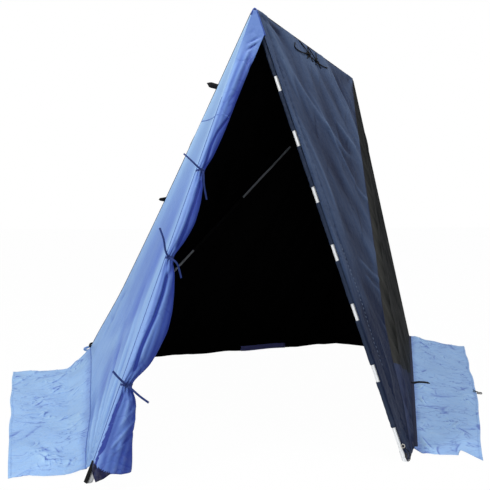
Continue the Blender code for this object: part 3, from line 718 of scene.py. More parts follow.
def door_section(row):
    """One level of the door: points across its face, then round the roll behind, and their height."""
    height, width, depth = heights[row], widths[row], depths[row]
    share = np.linspace(0.0, 1.0, FRONT_COLUMNS + 1)
    turn = math.pi * share
    side = width * (1.0 - np.cos(turn)) / 2.0
    bulge = np.sin(turn) ** 0.7
    out = np.where(share < 0.5, depth * bulge, depth * (0.5 + 0.5 * bulge))
    fold = np.zeros(len(share))
    for line, spread, lift in DOOR_FOLDS:
        gap = side - profile(line, height)
        fold += lift * float(within(line, height)) * np.exp(-(gap / spread) ** 2)
    for number, tie in enumerate(TIE_HEIGHTS):
        close = math.exp(-abs(height - tie) / GATHER_REACH)
        if close > 0.02:
            gathers = np.sin(share * math.pi * (9 + 2 * number) + number)
            fold += GATHER_HEIGHT * close * gathers * bulge
    ripples = np.sin(side * RIPPLE_PACE + 1.7 * math.sin(height * 9.0))
    fold += RIPPLE_HEIGHT * ripples * bulge * min(1.0, depth / 0.03)
    lean = np.clip((side / max(width, 1e-4) - 0.5) * 2.0, -1.0, 1.0)
    side = side + fold * 0.55 * np.where(lean > 0, lean, 0.0)
    out = out + fold * (1.0 - 0.35 * np.abs(lean))
    spare = max(full_width[row] - span(np.stack([side, out], axis=1)), 0.0)
    edge_side, edge_out = side[-1], out[-1]
    round_side, round_out = width / 2.0, max(depth / 2.0, 0.001)
    girth = math.pi * (round_side + round_out)
    tighter = LAYER / max(round_out, LEAST_ROLL)
    trial = np.linspace(0.0, MOST_TURNS, 600)
    wound = np.cumsum(girth * np.maximum(1.0 - trial * tighter, TIGHTEST)) * (trial[1] - trial[0])
    turns = float(np.interp(spare, wound, trial)) * float(smooth(spare / 0.01))
    roll = np.linspace(0.0, 1.0, ROLL_COLUMNS + 1)[1:] * turns
    shrink = np.maximum(1.0 - roll * tighter, TIGHTEST)
    angle = 2.0 * math.pi * roll
    start = smooth(roll / 0.20)
    roll_side = round_side + (round_side * shrink - CLEAR * start) * np.cos(angle)
    roll_out = round_out - (round_out * shrink - CLEAR * start) * np.sin(angle)
    roll_side += (edge_side - 2.0 * round_side) * (1.0 - start)
    roll_out += (edge_out - round_out) * (1.0 - start)
    # The roll behind the face is painted in deep shade.
    hidden = np.full(ROLL_COLUMNS, ROLL_PAINTED_SHADE)
    return tuple(np.concatenate(pair) for pair in ((side, roll_side), (out, roll_out), (fold, hidden)))


door_shape = bmesh.new()
bmesh.ops.create_grid(door_shape, x_segments=FRONT_COLUMNS + ROLL_COLUMNS, y_segments=DOOR_ROWS, size=0.5)
door_fold = door_shape.verts.layers.float.new("fold")
door_weave = door_shape.loops.layers.uv.new("weave")
sections = [door_section(row) for row in range(DOOR_ROWS + 1)]
lengths = [travelled(np.stack([side, out], axis=1)) for side, out, _ in sections]
HEM_TOP = 0.30
HEM_LINE = [(0.000, 0.080), (0.012, 0.050), (0.041, 0.017), (0.068, 0.030), (0.089, 0.047), (0.131, 0.041),
            (0.173, 0.042)]
door_cut = {}
for vertex in door_shape.verts:
    column = round((vertex.co.x + 0.5) * (FRONT_COLUMNS + ROLL_COLUMNS))
    row = round((0.5 - vertex.co.y) * DOOR_ROWS)
    side, out, fold = (values[column] for values in sections[row])
    height = heights[row]
    hem = profile(HEM_LINE, side)
    raised = height + hem * float(smooth((HEM_TOP - height) / HEM_TOP)) * (1.0 - height / HEM_TOP)
    centre = up_edge(LEFT_FOOT, APEX, raised)
    across_share = side / max(widths[row], 1e-4)
    vertex.co = rounded(centre + ACROSS * side + FRONT[0] * (out + 0.0006 * across_share))
    # The folds' depth is painted as shade and highlight, with more painted shade towards the free edge
    # and the foot, and painted light at the tip and along the pole.
    painted_shade = 0.014 * smooth((across_share - 0.45) / 0.50) * smooth((1.9 - height) / 0.3)
    painted_shade *= 0.60 + 0.40 * float(smooth((height - 0.24) / 0.16))
    painted_shade += 0.004 * float(smooth((0.45 - height) / 0.3))
    painted_shade -= 0.004 * float(smooth((height - 1.8) / 0.1))
    light = 0.020 * smooth((0.30 - across_share) / 0.30) * float(smooth((2.0 - height) / 0.3))
    vertex[door_fold] = FOLD_GAIN * fold - painted_shade + light
    door_cut[vertex] = (lengths[row][column], height)
# Faces below the turn-up line at the foot and above the tip cap take the dark navy facing; at the foot its
# near black also paints the shade under the turned-up corner.
TURN_UP = [(0.0, 0.098), (0.075, 0.075), (0.110, 0.045), (0.20, 0.030)]
TIP_CAP = 2.084
for face in door_shape.faces:
    for loop in face.loops:
        loop[door_weave].uv = door_cut[loop.vert]
    centre = face.calc_center_median()
    side = centre.x - up_edge(LEFT_FOOT, APEX, centre.z)[0]
    face.material_index = int(centre.z < profile(TURN_UP, side) or centre.z > TIP_CAP)
door_front = LEFT_FOOT[1] - 0.02
door_surface = close_sheet(
    door_shape, DOOR_WELD, lambda face: -face.normal.y * (face.calc_center_median().y < door_front))
door = add_piece("door_and_gable", door_shape, [CLOTH_DOOR, DOOR_FACING],
                 ["door_flap", "gable"])
thicken(door)
panel_area(APEX, LEFT_FOOT, RIGHT_FOOT)

# Right front wall: navy cloth from the ridge to the ground, felled along the ridge and sewn in
# sleeves to the right door pole. Behind it a strip of charcoal cloth runs on to the fold where the
# frame turns.
CLOTH_NAVY = cloth_material("cloth_navy", (0.034, 0.057, 0.118), (0.006, 0.012, 0.037), (0.074, 0.111, 0.192),
                            0.50, 0.0, hollow=0.013, crumples=0.45, specular=0.12, wrinkles=0.0015)
RIGHT_REAR = wall_plane("right_rear_wall")
BACK_LEFT = wall_plane("back_wall_left")
BACK_RIGHT = wall_plane("back_wall_right")
REAR_APEX = meet(ROOF, BACK_LEFT, RIGHT)
CREASE_FOOT = meet(RIGHT, RIGHT_REAR, GROUND)
REAR_RIGHT = meet(RIGHT_REAR, BACK_RIGHT, GROUND)
REAR_SEAM = meet(BACK_LEFT, BACK_RIGHT, GROUND)
RIGHT_REAR_HEM = up_edge(REAR_RIGHT, REAR_APEX, HEM_HEIGHT)
RIGHT_HEM = up_edge(RIGHT_FOOT, APEX, HEM_CLEAR)
CREASE_HEM = up_edge(CREASE_FOOT, REAR_APEX, HEM_CLEAR)

FOLD_HIGHLIGHT_WIDTH = 0.009
SEWN_FOOT = RIGHT_HEM + (CREASE_HEM - RIGHT_HEM) * 0.55
BOW = ((0.0, 0.0), (0.05, 0.045), (0.17, 0.080), (0.47, 0.095), (0.60, 0.108), (0.70, 0.126), (0.76, 0.120),
       (0.82, 0.090), (0.87, 0.045), (0.91, 0.012), (1.0, 0.0))


def rearward(cloth):
    """The level direction along a wall, towards the rear."""
    return cloth.run if cloth.run[1] > 0.0 else -cloth.run


def bowed(cloth, share):
    """Moves a panel's seam forward in its own plane, as far as the seam bows from a straight line."""
    cloth.rest -= np.outer(profile(BOW, cloth.down) * share, rearward(cloth))
    cloth.uv = np.stack([cloth.rest @ cloth.run, cloth.rest @ cloth.rise], axis=1)


right_cloth = Cloth([APEX, REAR_APEX], [RIGHT_HEM, SEWN_FOOT], 104, 190, RIGHT)
bowed(right_cloth, right_cloth.across ** 2)
right_cloth.sag(0.008)
right_cloth.waves(0.26, 0.0045, 21, stretch=5.0, lean=24.0)
right_cloth.waves(0.09, 0.0014, 22, stretch=5.0, lean=20.0, mask=smooth(1.5 - right_cloth.down))
for line, spread, lift, step in (
        ([(-0.758, 2.085), (-0.64, 2.05), (-0.50, 2.045)], 0.016, -0.006, 0.006),
        ([(-0.69, 1.90), (-0.593, 1.789), (-0.468, 1.632), (-0.293, 1.462), (-0.105, 1.391)],
         0.030, 0.007, -0.006),
        ([(-0.70, 1.98), (-0.672, 1.797), (-0.67, 1.613)], 0.022, 0.004, 0.004),
        ([(0.06, 2.06), (0.144, 1.841), (0.104, 1.573)], 0.030, 0.006, -0.005),
        ([(-0.50, 1.80), (-0.446, 1.718), (-0.382, 1.452), (-0.327, 1.191)], 0.024, 0.006, -0.005),
        ([(-0.24, 1.68), (-0.168, 1.585), (-0.035, 1.437)], 0.022, 0.006, -0.005),
        ([(-0.36, 1.26), (-0.30, 1.19), (-0.22, 1.16)], 0.018, 0.006, -0.006),
        ([(-0.80, 0.88), (-0.71, 0.79), (-0.62, 0.71)], 0.020, 0.007, -0.008),
        ([(-0.80, 0.79), (-0.75, 0.73), (-0.69, 0.66)], 0.016, 0.005, -0.006),
        ([(-0.86, 0.62), (-0.84, 0.50), (-0.90, 0.38)], 0.020, 0.006, -0.005),
        ([(-0.80, 1.66), (-0.78, 1.30), (-0.84, 0.95)], 0.035, 0.004, 0.003),
        ([(-0.95, 0.55), (-1.00, 0.36), (-1.12, 0.16)], 0.020, 0.005, -0.004)):
    right_cloth.crease(line, spread, lift, step)
    # Painted highlight along each fold line, strongest in its middle.
    gap, _, share = right_cloth.near(line)
    right_cloth.tone += 0.007 * np.exp(-(gap / FOLD_HIGHLIGHT_WIDTH) ** 2) * np.sin(math.pi * share)
# Painted shade in the hollow just below the ridge.
RIDGE_SHADE_LINE = [(-0.740, 2.090), (-0.711, 2.068), (-0.658, 2.062), (-0.595, 2.053), (-0.521, 2.040)]
gap, _, share = right_cloth.near(RIDGE_SHADE_LINE)
right_cloth.tone -= 0.012 * np.exp(-(gap / 0.014) ** 2) * np.sin(math.pi * share) ** 0.5
SEAM_LINE = [(-0.700, 2.03), (-0.738, 1.849), (-0.832, 1.448), (-0.913, 1.037), (-0.993, 0.637),
             (-1.080, 0.251), (-1.130, 0.05)]
right_cloth.crease(SEAM_LINE, 0.007, -0.0035, taper=0.02)
right_cloth.puckers(SEAM_LINE, 0.030, 0.022, 0.0022, 23)
right_cloth.crumple(0.13, 0.0035, 24, stretch=2.2, lean=22.0)
right_cloth.crumple(0.06, 0.0030, 25, stretch=1.5, lean=40.0,
                    mask=np.exp(-((right_cloth.across - 0.42) / 0.16) ** 2 - (right_cloth.down / 0.07) ** 2))
tie_pull = np.exp(-((right_cloth.across - 0.44) / 0.14) ** 2 - ((right_cloth.down - 0.05) / 0.04) ** 2)
right_cloth.darts(60, 0.06, 0.006, 26, lean=60.0, mask=tie_pull)
right_cloth.darts(60, 0.20, 0.0030, 27, lean=65.0, spread=14.0)
# Painted light where the tie crinkles the cloth, painted shade towards the ground and a little over all, and
# painted shade towards the rear of the top.
right_cloth.tone += 0.008 * tie_pull - 0.0170 * smooth((1.05 - right_cloth.rest[:, 2]) / 0.9) - 0.0015
right_cloth.tone -= 0.005 * smooth(right_cloth.across * 2.0 - 0.9) * smooth(1.0 - 3.0 * right_cloth.down)
right_cloth.fan((-0.73, 2.11), 0.40, 17.0, 0.003, 1.0)
right_cloth.fan((0.58, 2.09), 0.40, 13.0, 0.004, 2.0)
right_cloth.hold_edges(0.012, "lrt", "lt")
SLEEVE_WRAP = np.array([-0.0040, 0.0020, 0.0])
right_cloth.shift = np.exp(-(right_cloth.across / 0.006) ** 2)[:, None] * SLEEVE_WRAP
hang_wall(right_cloth, "right_front_cloth", CLOTH_NAVY, "cloth_navy", "right_front_wall",
          [APEX, REAR_APEX, SEWN_FOOT, RIGHT_HEM])

CLOTH_CHARCOAL = cloth_material("cloth_charcoal", (0.0105, 0.0110, 0.0105), (0.0034, 0.0038, 0.0040),
                                (0.0370, 0.0368, 0.0335), 0.62, 0.0, hollow=0.022, crumples=0.45,
                                specular=0.05,
                                below=((0.006, 0.008, 0.020), (0.017, 0.022, 0.052), (0.035, 0.048, 0.100)))
CHARCOAL = "cloth_charcoal"
NAVY_LIMIT = ((-1.20, 0.478), (-0.927, 0.360), (-0.666, 0.247), (-0.194, 0.072), (0.60, -0.25))


def navy_below(cloth):
    """How far each point of a charcoal panel lies below the seam where its navy lower part starts."""
    return profile(NAVY_LIMIT, cloth.rest[:, 1]) - cloth.rest[:, 2]


strip_cloth = Cloth([REAR_APEX], [SEWN_FOOT, CREASE_HEM], 26, 170, RIGHT)
bowed(strip_cloth, 1.0 - strip_cloth.across)
strip_cloth.waves(0.10, 0.0025, 28, stretch=7.0, lean=24.0)
# Painted light beside the seam with the navy wall, where the strip faces the light as the navy does, fading
# towards the fold and the top; a little painted shade over all.
painted_lit_side = smooth(1.4 - 1.2 * strip_cloth.across) * smooth(strip_cloth.down * 2.6 - 0.5)
strip_cloth.tone += 0.018 * painted_lit_side - 0.003
strip_cloth.below_seam = navy_below(strip_cloth)
strip_cloth.hold_edges(0.006, "lr")
strip = strip_cloth.make("right_strip_cloth", [CLOTH_CHARCOAL, LINING], CHARCOAL)
bowed_line = strip_cloth.edge(strip_cloth.across, strip_cloth.down)[::10]
strip_area = panel_area(*bowed_line, CREASE_HEM)

# Roof, rear right wall and back: charcoal cloth in four panels, felled together over the rear
# poles, with the same slack bands as the other walls. It is matt and lets no light through.
BACK_LEFT_HEM = up_edge(REAR_LEFT + unit(REAR_SEAM - REAR_LEFT) * 0.46, REAR_APEX, HEM_CLEAR)
BACK_RIGHT_HEM = up_edge(REAR_RIGHT + unit(REAR_SEAM - REAR_RIGHT) * 0.23, REAR_APEX, HEM_CLEAR)
REAR_SEAM_HEM = up_edge(REAR_SEAM, REAR_APEX, HEM_CLEAR)
BACK_CORNER_HEM = up_edge(REAR_LEFT, REAR_APEX, HEM_HEIGHT)


def slack_panel(top, foot, grid, plane, slack, bands, crumples, fans, solve=0):
    """A panel with its slack, its bands, its crumples and the pleats that spread from its corners."""
    cloth = Cloth(top, foot, *grid, plane, solve)
    cloth.sag(slack)
    for band in bands:
        cloth.waves(*band)
    cloth.crumple(*crumples)
    for pleats in fans:
        cloth.fan(*pleats)
    return cloth


rear_right_cloth = slack_panel(
    [REAR_APEX], [CREASE_HEM, RIGHT_REAR_HEM], (92, 170), RIGHT_REAR, 0.010,
    ((0.20, 0.006, 31, 6.0, 24.0), (0.07, 0.0016, 32, 5.0, 24.0)), (0.14, 0.004, 33, 2.6, 24.0),
    (((0.58, 2.09), 0.50, 15.0, 0.004), ((-1.10, 0.02), 0.40, 11.0, 0.006)))
rear_right_cloth.crease([(0.36, 1.75), (0.18, 1.18), (0.06, 0.60), (-0.05, 0.12)], 0.030, 0.007, -0.005)
rear_right_cloth.crease([(0.17, 1.52), (-0.08, 0.90), (-0.36, 0.33)], 0.030, -0.006, 0.005)
rear_right_cloth.hold_edges(0.012, "lr", "r")
rear_right_cloth.hold_edges(0.05, "b")
# Painted shade towards the panel's rear edge.
rear_right_cloth.tone -= 0.012 * smooth(rear_right_cloth.across * 1.6 - 0.2)
rear_right_cloth.below_seam = navy_below(rear_right_cloth)
rear_right_wall = hang_wall(rear_right_cloth, "right_rear_cloth", CLOTH_CHARCOAL, CHARCOAL, "right_rear_wall",
                            [REAR_APEX, CREASE_HEM, RIGHT_REAR_HEM])

roof_cloth = slack_panel(
    [APEX, REAR_APEX], [LEFT_REAR_HEM, BACK_CORNER_HEM], (108, 160), ROOF, 0.016,
    ((0.32, 0.007, 41, 4.0, -30.0), (0.12, 0.0022, 42, 4.0, -28.0)), (0.16, 0.0045, 43, 2.2, -25.0),
    (((-0.731, 2.11), 0.5, 13.0, 0.005), ((0.58, 2.09), 0.5, 13.0, 0.005), ((0.55, 0.15), 0.45, 9.0, 0.007)))
roof_cloth.hold_edges(0.014, "lrt", "lrt")
roof_cloth.shift = edge_shift(roof_cloth, 1.0 - roof_cloth.across)
hang_wall(roof_cloth, "roof_cloth", CLOTH_CHARCOAL, CHARCOAL, "left_roof",
          [APEX, LEFT_REAR_HEM, BACK_CORNER_HEM, REAR_APEX])

back_left_cloth = slack_panel(
    [REAR_APEX], [BACK_CORNER_HEM, BACK_LEFT_HEM, REAR_SEAM_HEM], (100, 144), BACK_LEFT, 0.014,
    ((0.30, 0.007, 51, 4.0, 26.0), (0.11, 0.0022, 52, 4.0, 24.0)), (0.16, 0.0045, 53, 2.2, 22.0),
    (((0.72, 2.09), 0.5, 13.0, 0.005),), 1)
back_left_cloth.hold_edges(0.014, "lr", "lr")
back_left = hang_wall(back_left_cloth, "back_left_cloth", CLOTH_CHARCOAL, CHARCOAL, "back_wall_left",
                      [REAR_APEX, BACK_CORNER_HEM, BACK_LEFT_HEM, REAR_SEAM_HEM])

back_right_cloth = slack_panel(
    [REAR_APEX], [REAR_SEAM_HEM, BACK_RIGHT_HEM, RIGHT_REAR_HEM], (50, 132), BACK_RIGHT, 0.010,
    ((0.22, 0.005, 61, 5.0, -8.0),), (0.13, 0.004, 62, 2.4, -8.0), (((0.72, 2.09), 0.5, 13.0, 0.004),), 1)
back_right_cloth.hold_edges(0.014, "lr", "lr")
hang_wall(back_right_cloth, "back_right_cloth", CLOTH_CHARCOAL, CHARCOAL, "back_wall_right",
          [REAR_APEX, REAR_SEAM_HEM, BACK_RIGHT_HEM, RIGHT_REAR_HEM])

# Skirts: sky blue cloth sewn along the hems of the walls, to be weighted with sand or stones. It
# falls from the hem, lies on the ground and is crumpled from packing.
CLOTH_SKIRT = cloth_material("cloth_skirt", (0.262, 0.420, 0.690), (0.125, 0.205, 0.500),
                             (0.335, 0.515, 0.740), 0.60, 0.02, hollow=0.006, crumples=0.45,
                             crumple_size=0.035, specular=0.2, wrinkles=0.0075)
SKIRT_LIFT = 0.0022
SKIRT_EDGES = {
    "left_skirt": [(-1.325, -1.154), (-1.404, -0.849), (-1.475, -0.549), (-1.589, -0.089), (-1.716, 0.457)],
    "right_skirt": [(0.708, -1.259), (0.903, -0.917), (1.169, -0.440), (1.411, 0.057), (1.716, 0.674)],
    "back_skirt": [(-1.274, 1.051), (-0.814, 1.141), (-0.034, 1.231), (0.746, 1.321), (1.086, 1.141),
                   (1.426, 0.921)]}


def leftward(line):
    """The level direction to the left of a line on the ground, seen from above, at each of its points."""
    step = np.gradient(line, axis=0)
    side = np.stack([-step[:, 1], step[:, 0], np.zeros(len(step))], axis=1)
    return side / np.maximum(np.linalg.norm(side, axis=1), 1e-9)[:, None]


def wavy_edge(corners, seed):
    """A skirt's outer edge on the ground, a little wavy between its corners."""
    line = along([np.array([x, y, SKIRT_LIFT]) for x, y in corners], np.linspace(0.0, 1.0, 120))
    draw = np.random.default_rng(seed)
    share = np.linspace(0.0, 1.0, len(line))
    wave = sum(np.sin(share * draw.uniform(6.0, 34.0) + draw.uniform(0.0, 6.0)) for _ in range(5)) / 5.0
    return line + leftward(line) * (0.006 * wave * np.sin(math.pi * share) ** 0.4)[:, None]


STRAIGHT = ((0.0, 0.0), (1.0, 0.0))
FULLNESS = 0.0045


def lay_skirt(name, hem, columns, rows, drop, seed, front_line=STRAIGHT, rear_line=STRAIGHT,
              tone=0.0, folds=()):
    """Cloth that falls from a hem within the first part of its width and lies on the ground beyond."""
    outer = wavy_edge(SKIRT_EDGES[name], seed)
    cloth = Cloth(hem, outer, columns, rows, GROUND, 2)
    start = along(hem, cloth.across)
    fall = np.maximum(0.0, 1.0 - cloth.down / drop)
    cloth.rest[:, 2] = SKIRT_LIFT + np.maximum(start[:, 2] - SKIRT_LIFT, 0.0) * fall ** 1.25
    cloth.uv = cloth.rest[:, :2].copy()
    flat = smooth(cloth.down * 6.0)
    cloth.waves(0.30, 1.0, seed)
    crumpled = smooth(cloth.height * 0.6 + 0.55)
    cloth.height *= 0.0
    cloth.waves(0.22, 0.0035, seed + 1, stretch=1.6, lean=40.0, mask=flat)
    # The tone takes the broad waves' height back out of the fold, a little past it, so the waves are hardly
    # painted as shade.
    cloth.tone -= 1.1 * cloth.height
    cloth.darts(18, 0.22, 0.0036, seed + 2, lean=62.0, spread=28.0, mask=flat)
    cloth.darts(130, 0.11, 0.0070, seed + 3, lean=60.0, spread=40.0, mask=flat * crumpled)
    cloth.darts(420, 0.060, 0.0052, seed + 4, lean=50.0, spread=60.0, mask=flat * crumpled)
    cloth.crumple(0.075, 0.0020, seed + 5, stretch=1.7, lean=50.0, mask=flat * (0.4 + 0.6 * crumpled))
    for line, width, height, step in folds:
        cloth.crease(line, width, height, step, taper=0.08)
    cloth.height = np.maximum(cloth.height + FULLNESS, 0.0) * smooth(cloth.down * 8.0)
    # The darts and crumples stay painted as shade; tone paints the whole skirt a little lighter or darker, as
    # its light falls.
    cloth.tone += tone - FULLNESS
    front_wave = profile(front_line, cloth.down) * np.exp(-cloth.across / 0.035)
    rear_wave = profile(rear_line, cloth.down) * np.exp((cloth.across - 1.0) / 0.10)
    cloth.shift = np.outer(front_wave + rear_wave, [0.0, 1.0, 0.0])
    piece = cloth.make(name + "_cloth", [CLOTH_SKIRT], "cloth_skirt", [name])
    outline = np.concatenate([along(hem, np.linspace(0.0, 1.0, 40)), outer[::-1]])
    size = np.sort(np.ptp(outline, axis=0)[:2])
    min(panel_area(*outline), 0.99 * float(size[0] * size[1]))
    return cloth


left_skirt = lay_skirt("left_skirt", left_cloth.foot()[5:], 210, 110, 0.30, 71,
                       ((0.0, 0.0), (0.3, 0.006), (0.55, -0.004), (0.8, 0.006), (1.0, 0.0)),
                       ((0.0, 0.0), (0.1, -0.03), (0.35, -0.065), (0.65, -0.065), (0.9, -0.02), (1.0, 0.0)),
                       tone=0.0018)
RIGHT_SKIRT_FOLDS = (([(0.548, -0.882), (0.688, -0.915), (0.877, -0.942)], 0.008, -0.006, 0.006),
                     ([(0.809, -0.370), (0.949, -0.408), (1.143, -0.473)], 0.012, 0.006, -0.004),
                     ([(0.919, -0.881), (0.885, -0.956)], 0.012, -0.008, 0.004))
right_skirt = lay_skirt("right_skirt", rear_right_cloth.foot(), 210, 84, 1.0, 75,
                        ((0.0, 0.0), (0.05, -0.052), (0.24, -0.050), (0.64, -0.013), (0.77, 0.054),
                         (0.86, 0.058), (1.0, -0.010)), tone=-0.0002, folds=RIGHT_SKIRT_FOLDS)
back_hem = np.concatenate([back_left_cloth.foot(), back_right_cloth.foot()])
back_skirt = lay_skirt("back_skirt", back_hem, 200, 50, 0.30, 79)

# Poles, joints and feet: drawn alloy tube, bright at the doorway and dull behind, with moulded
# joints at the two tops and capped ends that stand on the ground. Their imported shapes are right,
# so they keep them and only get their finish.


def alloy_material(name, bright, dull, metallic, roughness):
    """Drawn tube: fine lengthwise marks, and a gloss that hands and sand have made uneven."""
    material, tree, place = new_material(name)
    marks = noise(tree, wired(tree, "Mapping", {"Vector": place, "Scale": (420.0, 420.0, 6.0)}), 1.0, 3.0)
    fading = wired(tree, "Group", {"Vector": place}, "Fading", node_tree=HANDLING)
    drawn = mixed(tree, marks, (*dull, 1.0), (*bright, 1.0))
    return coat(material, {"Metallic": metallic, "Base Color": drawn,
                           "Roughness": ranged(tree, fading, roughness - 0.08, roughness + 0.14),
                           "Normal": bumped(tree, marks, 0.10, 0.0002)})


def tinted(tree, share, colour, dark, pale):
    """A colour that varies between a darker and a paler tint of it."""
    return mixed(tree, share, *((*[tint * part for part in colour], 1.0) for tint in (dark, pale)))


def moulded_material(name, colour, roughness):
    """Moulded nylon: a slight orange peel, and paler where it is rubbed."""
    material, tree, place = new_material(name)
    rubbed = noise(tree, place, 60.0, 4.0, 0.65)
    return coat(material, {"Specular IOR Level": 0.4, "Base Color": tinted(tree, rubbed, colour, 0.7, 1.4),
                           "Roughness": ranged(tree, rubbed, roughness - 0.10, roughness + 0.10),
                           "Normal": bumped(tree, noise(tree, place, 900.0, 2.0), 0.15, 0.0003)})


def webbing_material(name, colour, ribs=700.0, roughness=0.75, specular=0.2):
    """Woven tape or cord: ribs across it, with an uneven dye and a matt nap."""
    material, tree, place = new_material(name)
    threads = wired(tree, "Group", {"Vector": place, "Threads per Metre": ribs}, node_tree=THREADS)
    dye = noise(tree, place, 45.0, 3.0)
    return coat(material, {"Specular IOR Level": specular,
                           "Base Color": tinted(tree, dye, colour, 0.65, 1.35),
                           "Roughness": ranged(tree, dye, roughness - 0.08, roughness + 0.10),
                           "Normal": bumped(tree, threads, 0.5, 0.0004)})


POLE_BRIGHT = alloy_material("pole_bright", (0.98, 0.99, 1.0), (0.86, 0.89, 0.92), 0.25, 0.34)
POLE_DULL = alloy_material("pole_dull", (0.66, 0.70, 0.76), (0.48, 0.52, 0.58), 0.35, 0.42)
MOULDING = moulded_material("moulding_black", (0.010, 0.010, 0.012), 0.42)
WEBBING_BLACK = webbing_material("sleeve_black", (0.006, 0.006, 0.007), specular=0.12)


def finish_node(material, *nodes):
    for node in nodes:
        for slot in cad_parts[node].material_slots:
            slot.material = material


finish_node(POLE_BRIGHT, "front_left_pole", "front_right_pole", "front_left_foot", "front_right_foot")
finish_node(POLE_DULL, "rear_left_pole", "rear_right_pole", "ridge_pole")
finish_node(MOULDING, "front_hub", "rear_hub", "rear_left_foot", "rear_right_foot")
finish_node(WEBBING_BLACK, "right_peg_loop")

# Pole sleeves: narrow tubes of the wall's own cloth, turned in at their mouths, gathered a little
# on the pole, and closed by a row of stitches. On the right door pole they are seven short lengths
# with the bare tube between them.


def skin(name, rings, material, replaced=(), capped=True, closed=False):
    """Joins rings of points into one piece, as a tube, tape or cord is made, with its weave mapped."""
    shape = bmesh.new()
    weave = shape.loops.layers.uv.new("weave")
    rings = np.asarray(rings)
    count, around = rings.shape[:2]
    girth = travelled(np.concatenate([rings[0], rings[0][:1]]))
    length = travelled(rings.mean(axis=1))
    length = np.append(length, length[-1] + 0.004)
    verts = [[shape.verts.new(point) for point in points] for points in rings]
    for row in range(count if closed else count - 1):
        after = (row + 1) % count
        for side in range(around):
            beside = (side + 1) % around
            corners = ((row, side), (row, beside), (after, beside), (after, side))
            face = shape.faces.new([verts[level][place] for level, place in corners])
            spots = ((side, row), (side + 1, row), (side + 1, row + 1), (side, row + 1))
            for loop, (place, level) in zip(face.loops, spots):
                loop[weave].uv = (girth[place], length[level])
    if capped and not closed:
        shape.faces.new(verts[0][::-1])
        shape.faces.new(verts[-1])
    bmesh.ops.recalc_face_normals(shape, faces=shape.faces)
    return add_piece(name, shape, [material], replaced)


def node_axis(node):
    """The two ends of a packed tube's axis, lower end first."""
    points = cad_points(node)
    middle = points.mean(axis=0)
    run = np.linalg.svd(points - middle, full_matrices=False)[2][0]
    if run[2] < 0.0:
        run = -run
    reach = (points - middle) @ run
    return middle + run * reach.min(), middle + run * reach.max()


def circle(count):
    """Evenly spaced angles, once round."""
    return np.linspace(0.0, 2.0 * math.pi, count, endpoint=False)


def ring(centre, first, second, reach):
    """Points round a centre in the plane of two directions, each as far out as its reach."""
    turns = circle(len(reach))
    return centre + np.outer(np.cos(turns) * reach, first) + np.outer(np.sin(turns) * reach, second)


SLEEVE_SIDES = 26
SLEEVE_STEP = 0.006
MOUTH = 0.012
TURNED_IN = 0.0006
WOBBLE = 0.0005


def pole_sleeve(node, material, pole_radius, seed):
    """A gathered cloth tube that fits its packed sleeve, with a turned hem at each mouth."""
    low, high = node_axis(node)
    length = np.linalg.norm(high - low)
    run = unit(high - low)
    first = unit(np.cross(run, [0.0, 1.0, 0.0]))
    second = np.cross(run, first)
    points = cad_points(node) - low
    outer = float(np.linalg.norm(points - (points @ run)[:, None] * run, axis=1).max())
    draw = np.random.default_rng(seed)
    turns = circle(SLEEVE_SIDES)
    rings = []
    places = np.linspace(0.0, length, max(int(length / SLEEVE_STEP), 8))
    inner = pole_radius + TURNED_IN
    stations = [(MOUTH, inner), (0.0, inner + 0.0001), (0.0, outer)]
    stations += [(place, outer) for place in places[1:-1]]
    stations += [(length, outer), (length, inner + 0.0001), (length - MOUTH, inner)]
    phases = draw.uniform(0.0, 6.28, 4)
    for place, radius in stations:
        wobble = WOBBLE * (np.sin(3 * turns + place * 35.0 + phases[0])
                           + 0.8 * np.sin(5 * turns - place * 90.0 + phases[1])
                           + math.sin(place * 210.0 + phases[2]) * np.sin(turns + phases[3]))
        near_mouth = min(place, length - place)
        cuff = WOBBLE * math.exp(-((near_mouth - MOUTH / 2.0) / (MOUTH / 2.5)) ** 2)
        reach = radius + (wobble - 0.0004 + cuff) * (radius > pole_radius + 0.001)
        rings.append(ring(low + run * place, first, second, reach))
    return skin(node + "_cloth", rings, material, [node], capped=False)


FRONT_RADIUS = 0.009
REAR_RADIUS = 0.008
SLEEVE_BLUE = cloth_material("sleeve_blue", (0.250, 0.410, 0.740), (0.110, 0.200, 0.560),
                             (0.350, 0.540, 0.840), 0.55, 0.0, specular=0.2)
pole_sleeve("front_left_sleeve", SLEEVE_BLUE, FRONT_RADIUS, 101)
# The sleeves are given a darker navy than the wall's cloth: painted shade.
SLEEVE_NAVY = cloth_material("sleeve_navy", (0.020, 0.031, 0.062), (0.008, 0.012, 0.028),
                             (0.050, 0.075, 0.130), 0.50, 0.0, specular=0.12)
pole_sleeve("ridge_sleeve", SLEEVE_NAVY, REAR_RADIUS, 102)
for number in range(1, 8):
    pole_sleeve(f"front_right_sleeve_{number}", SLEEVE_NAVY, FRONT_RADIUS, 110 + number)
for side in ("left", "right"):
    for number in (1, 2, 3):
        pole_sleeve(f"rear_{side}_sleeve_{number}", WEBBING_BLACK, REAR_RADIUS, 120 + number)

# Door ribbons: three flat dark blue tapes, each round the gathered door, knotted in front, with two
# stiff ends that stand out as they were pulled. The ends are cut straight and sealed.
RIBBON = webbing_material("ribbon_blue", (0.018, 0.038, 0.170), ribs=900.0, roughness=0.6)
TAPE_WIDTH = 0.010
TAPE_THICKNESS = 0.0008


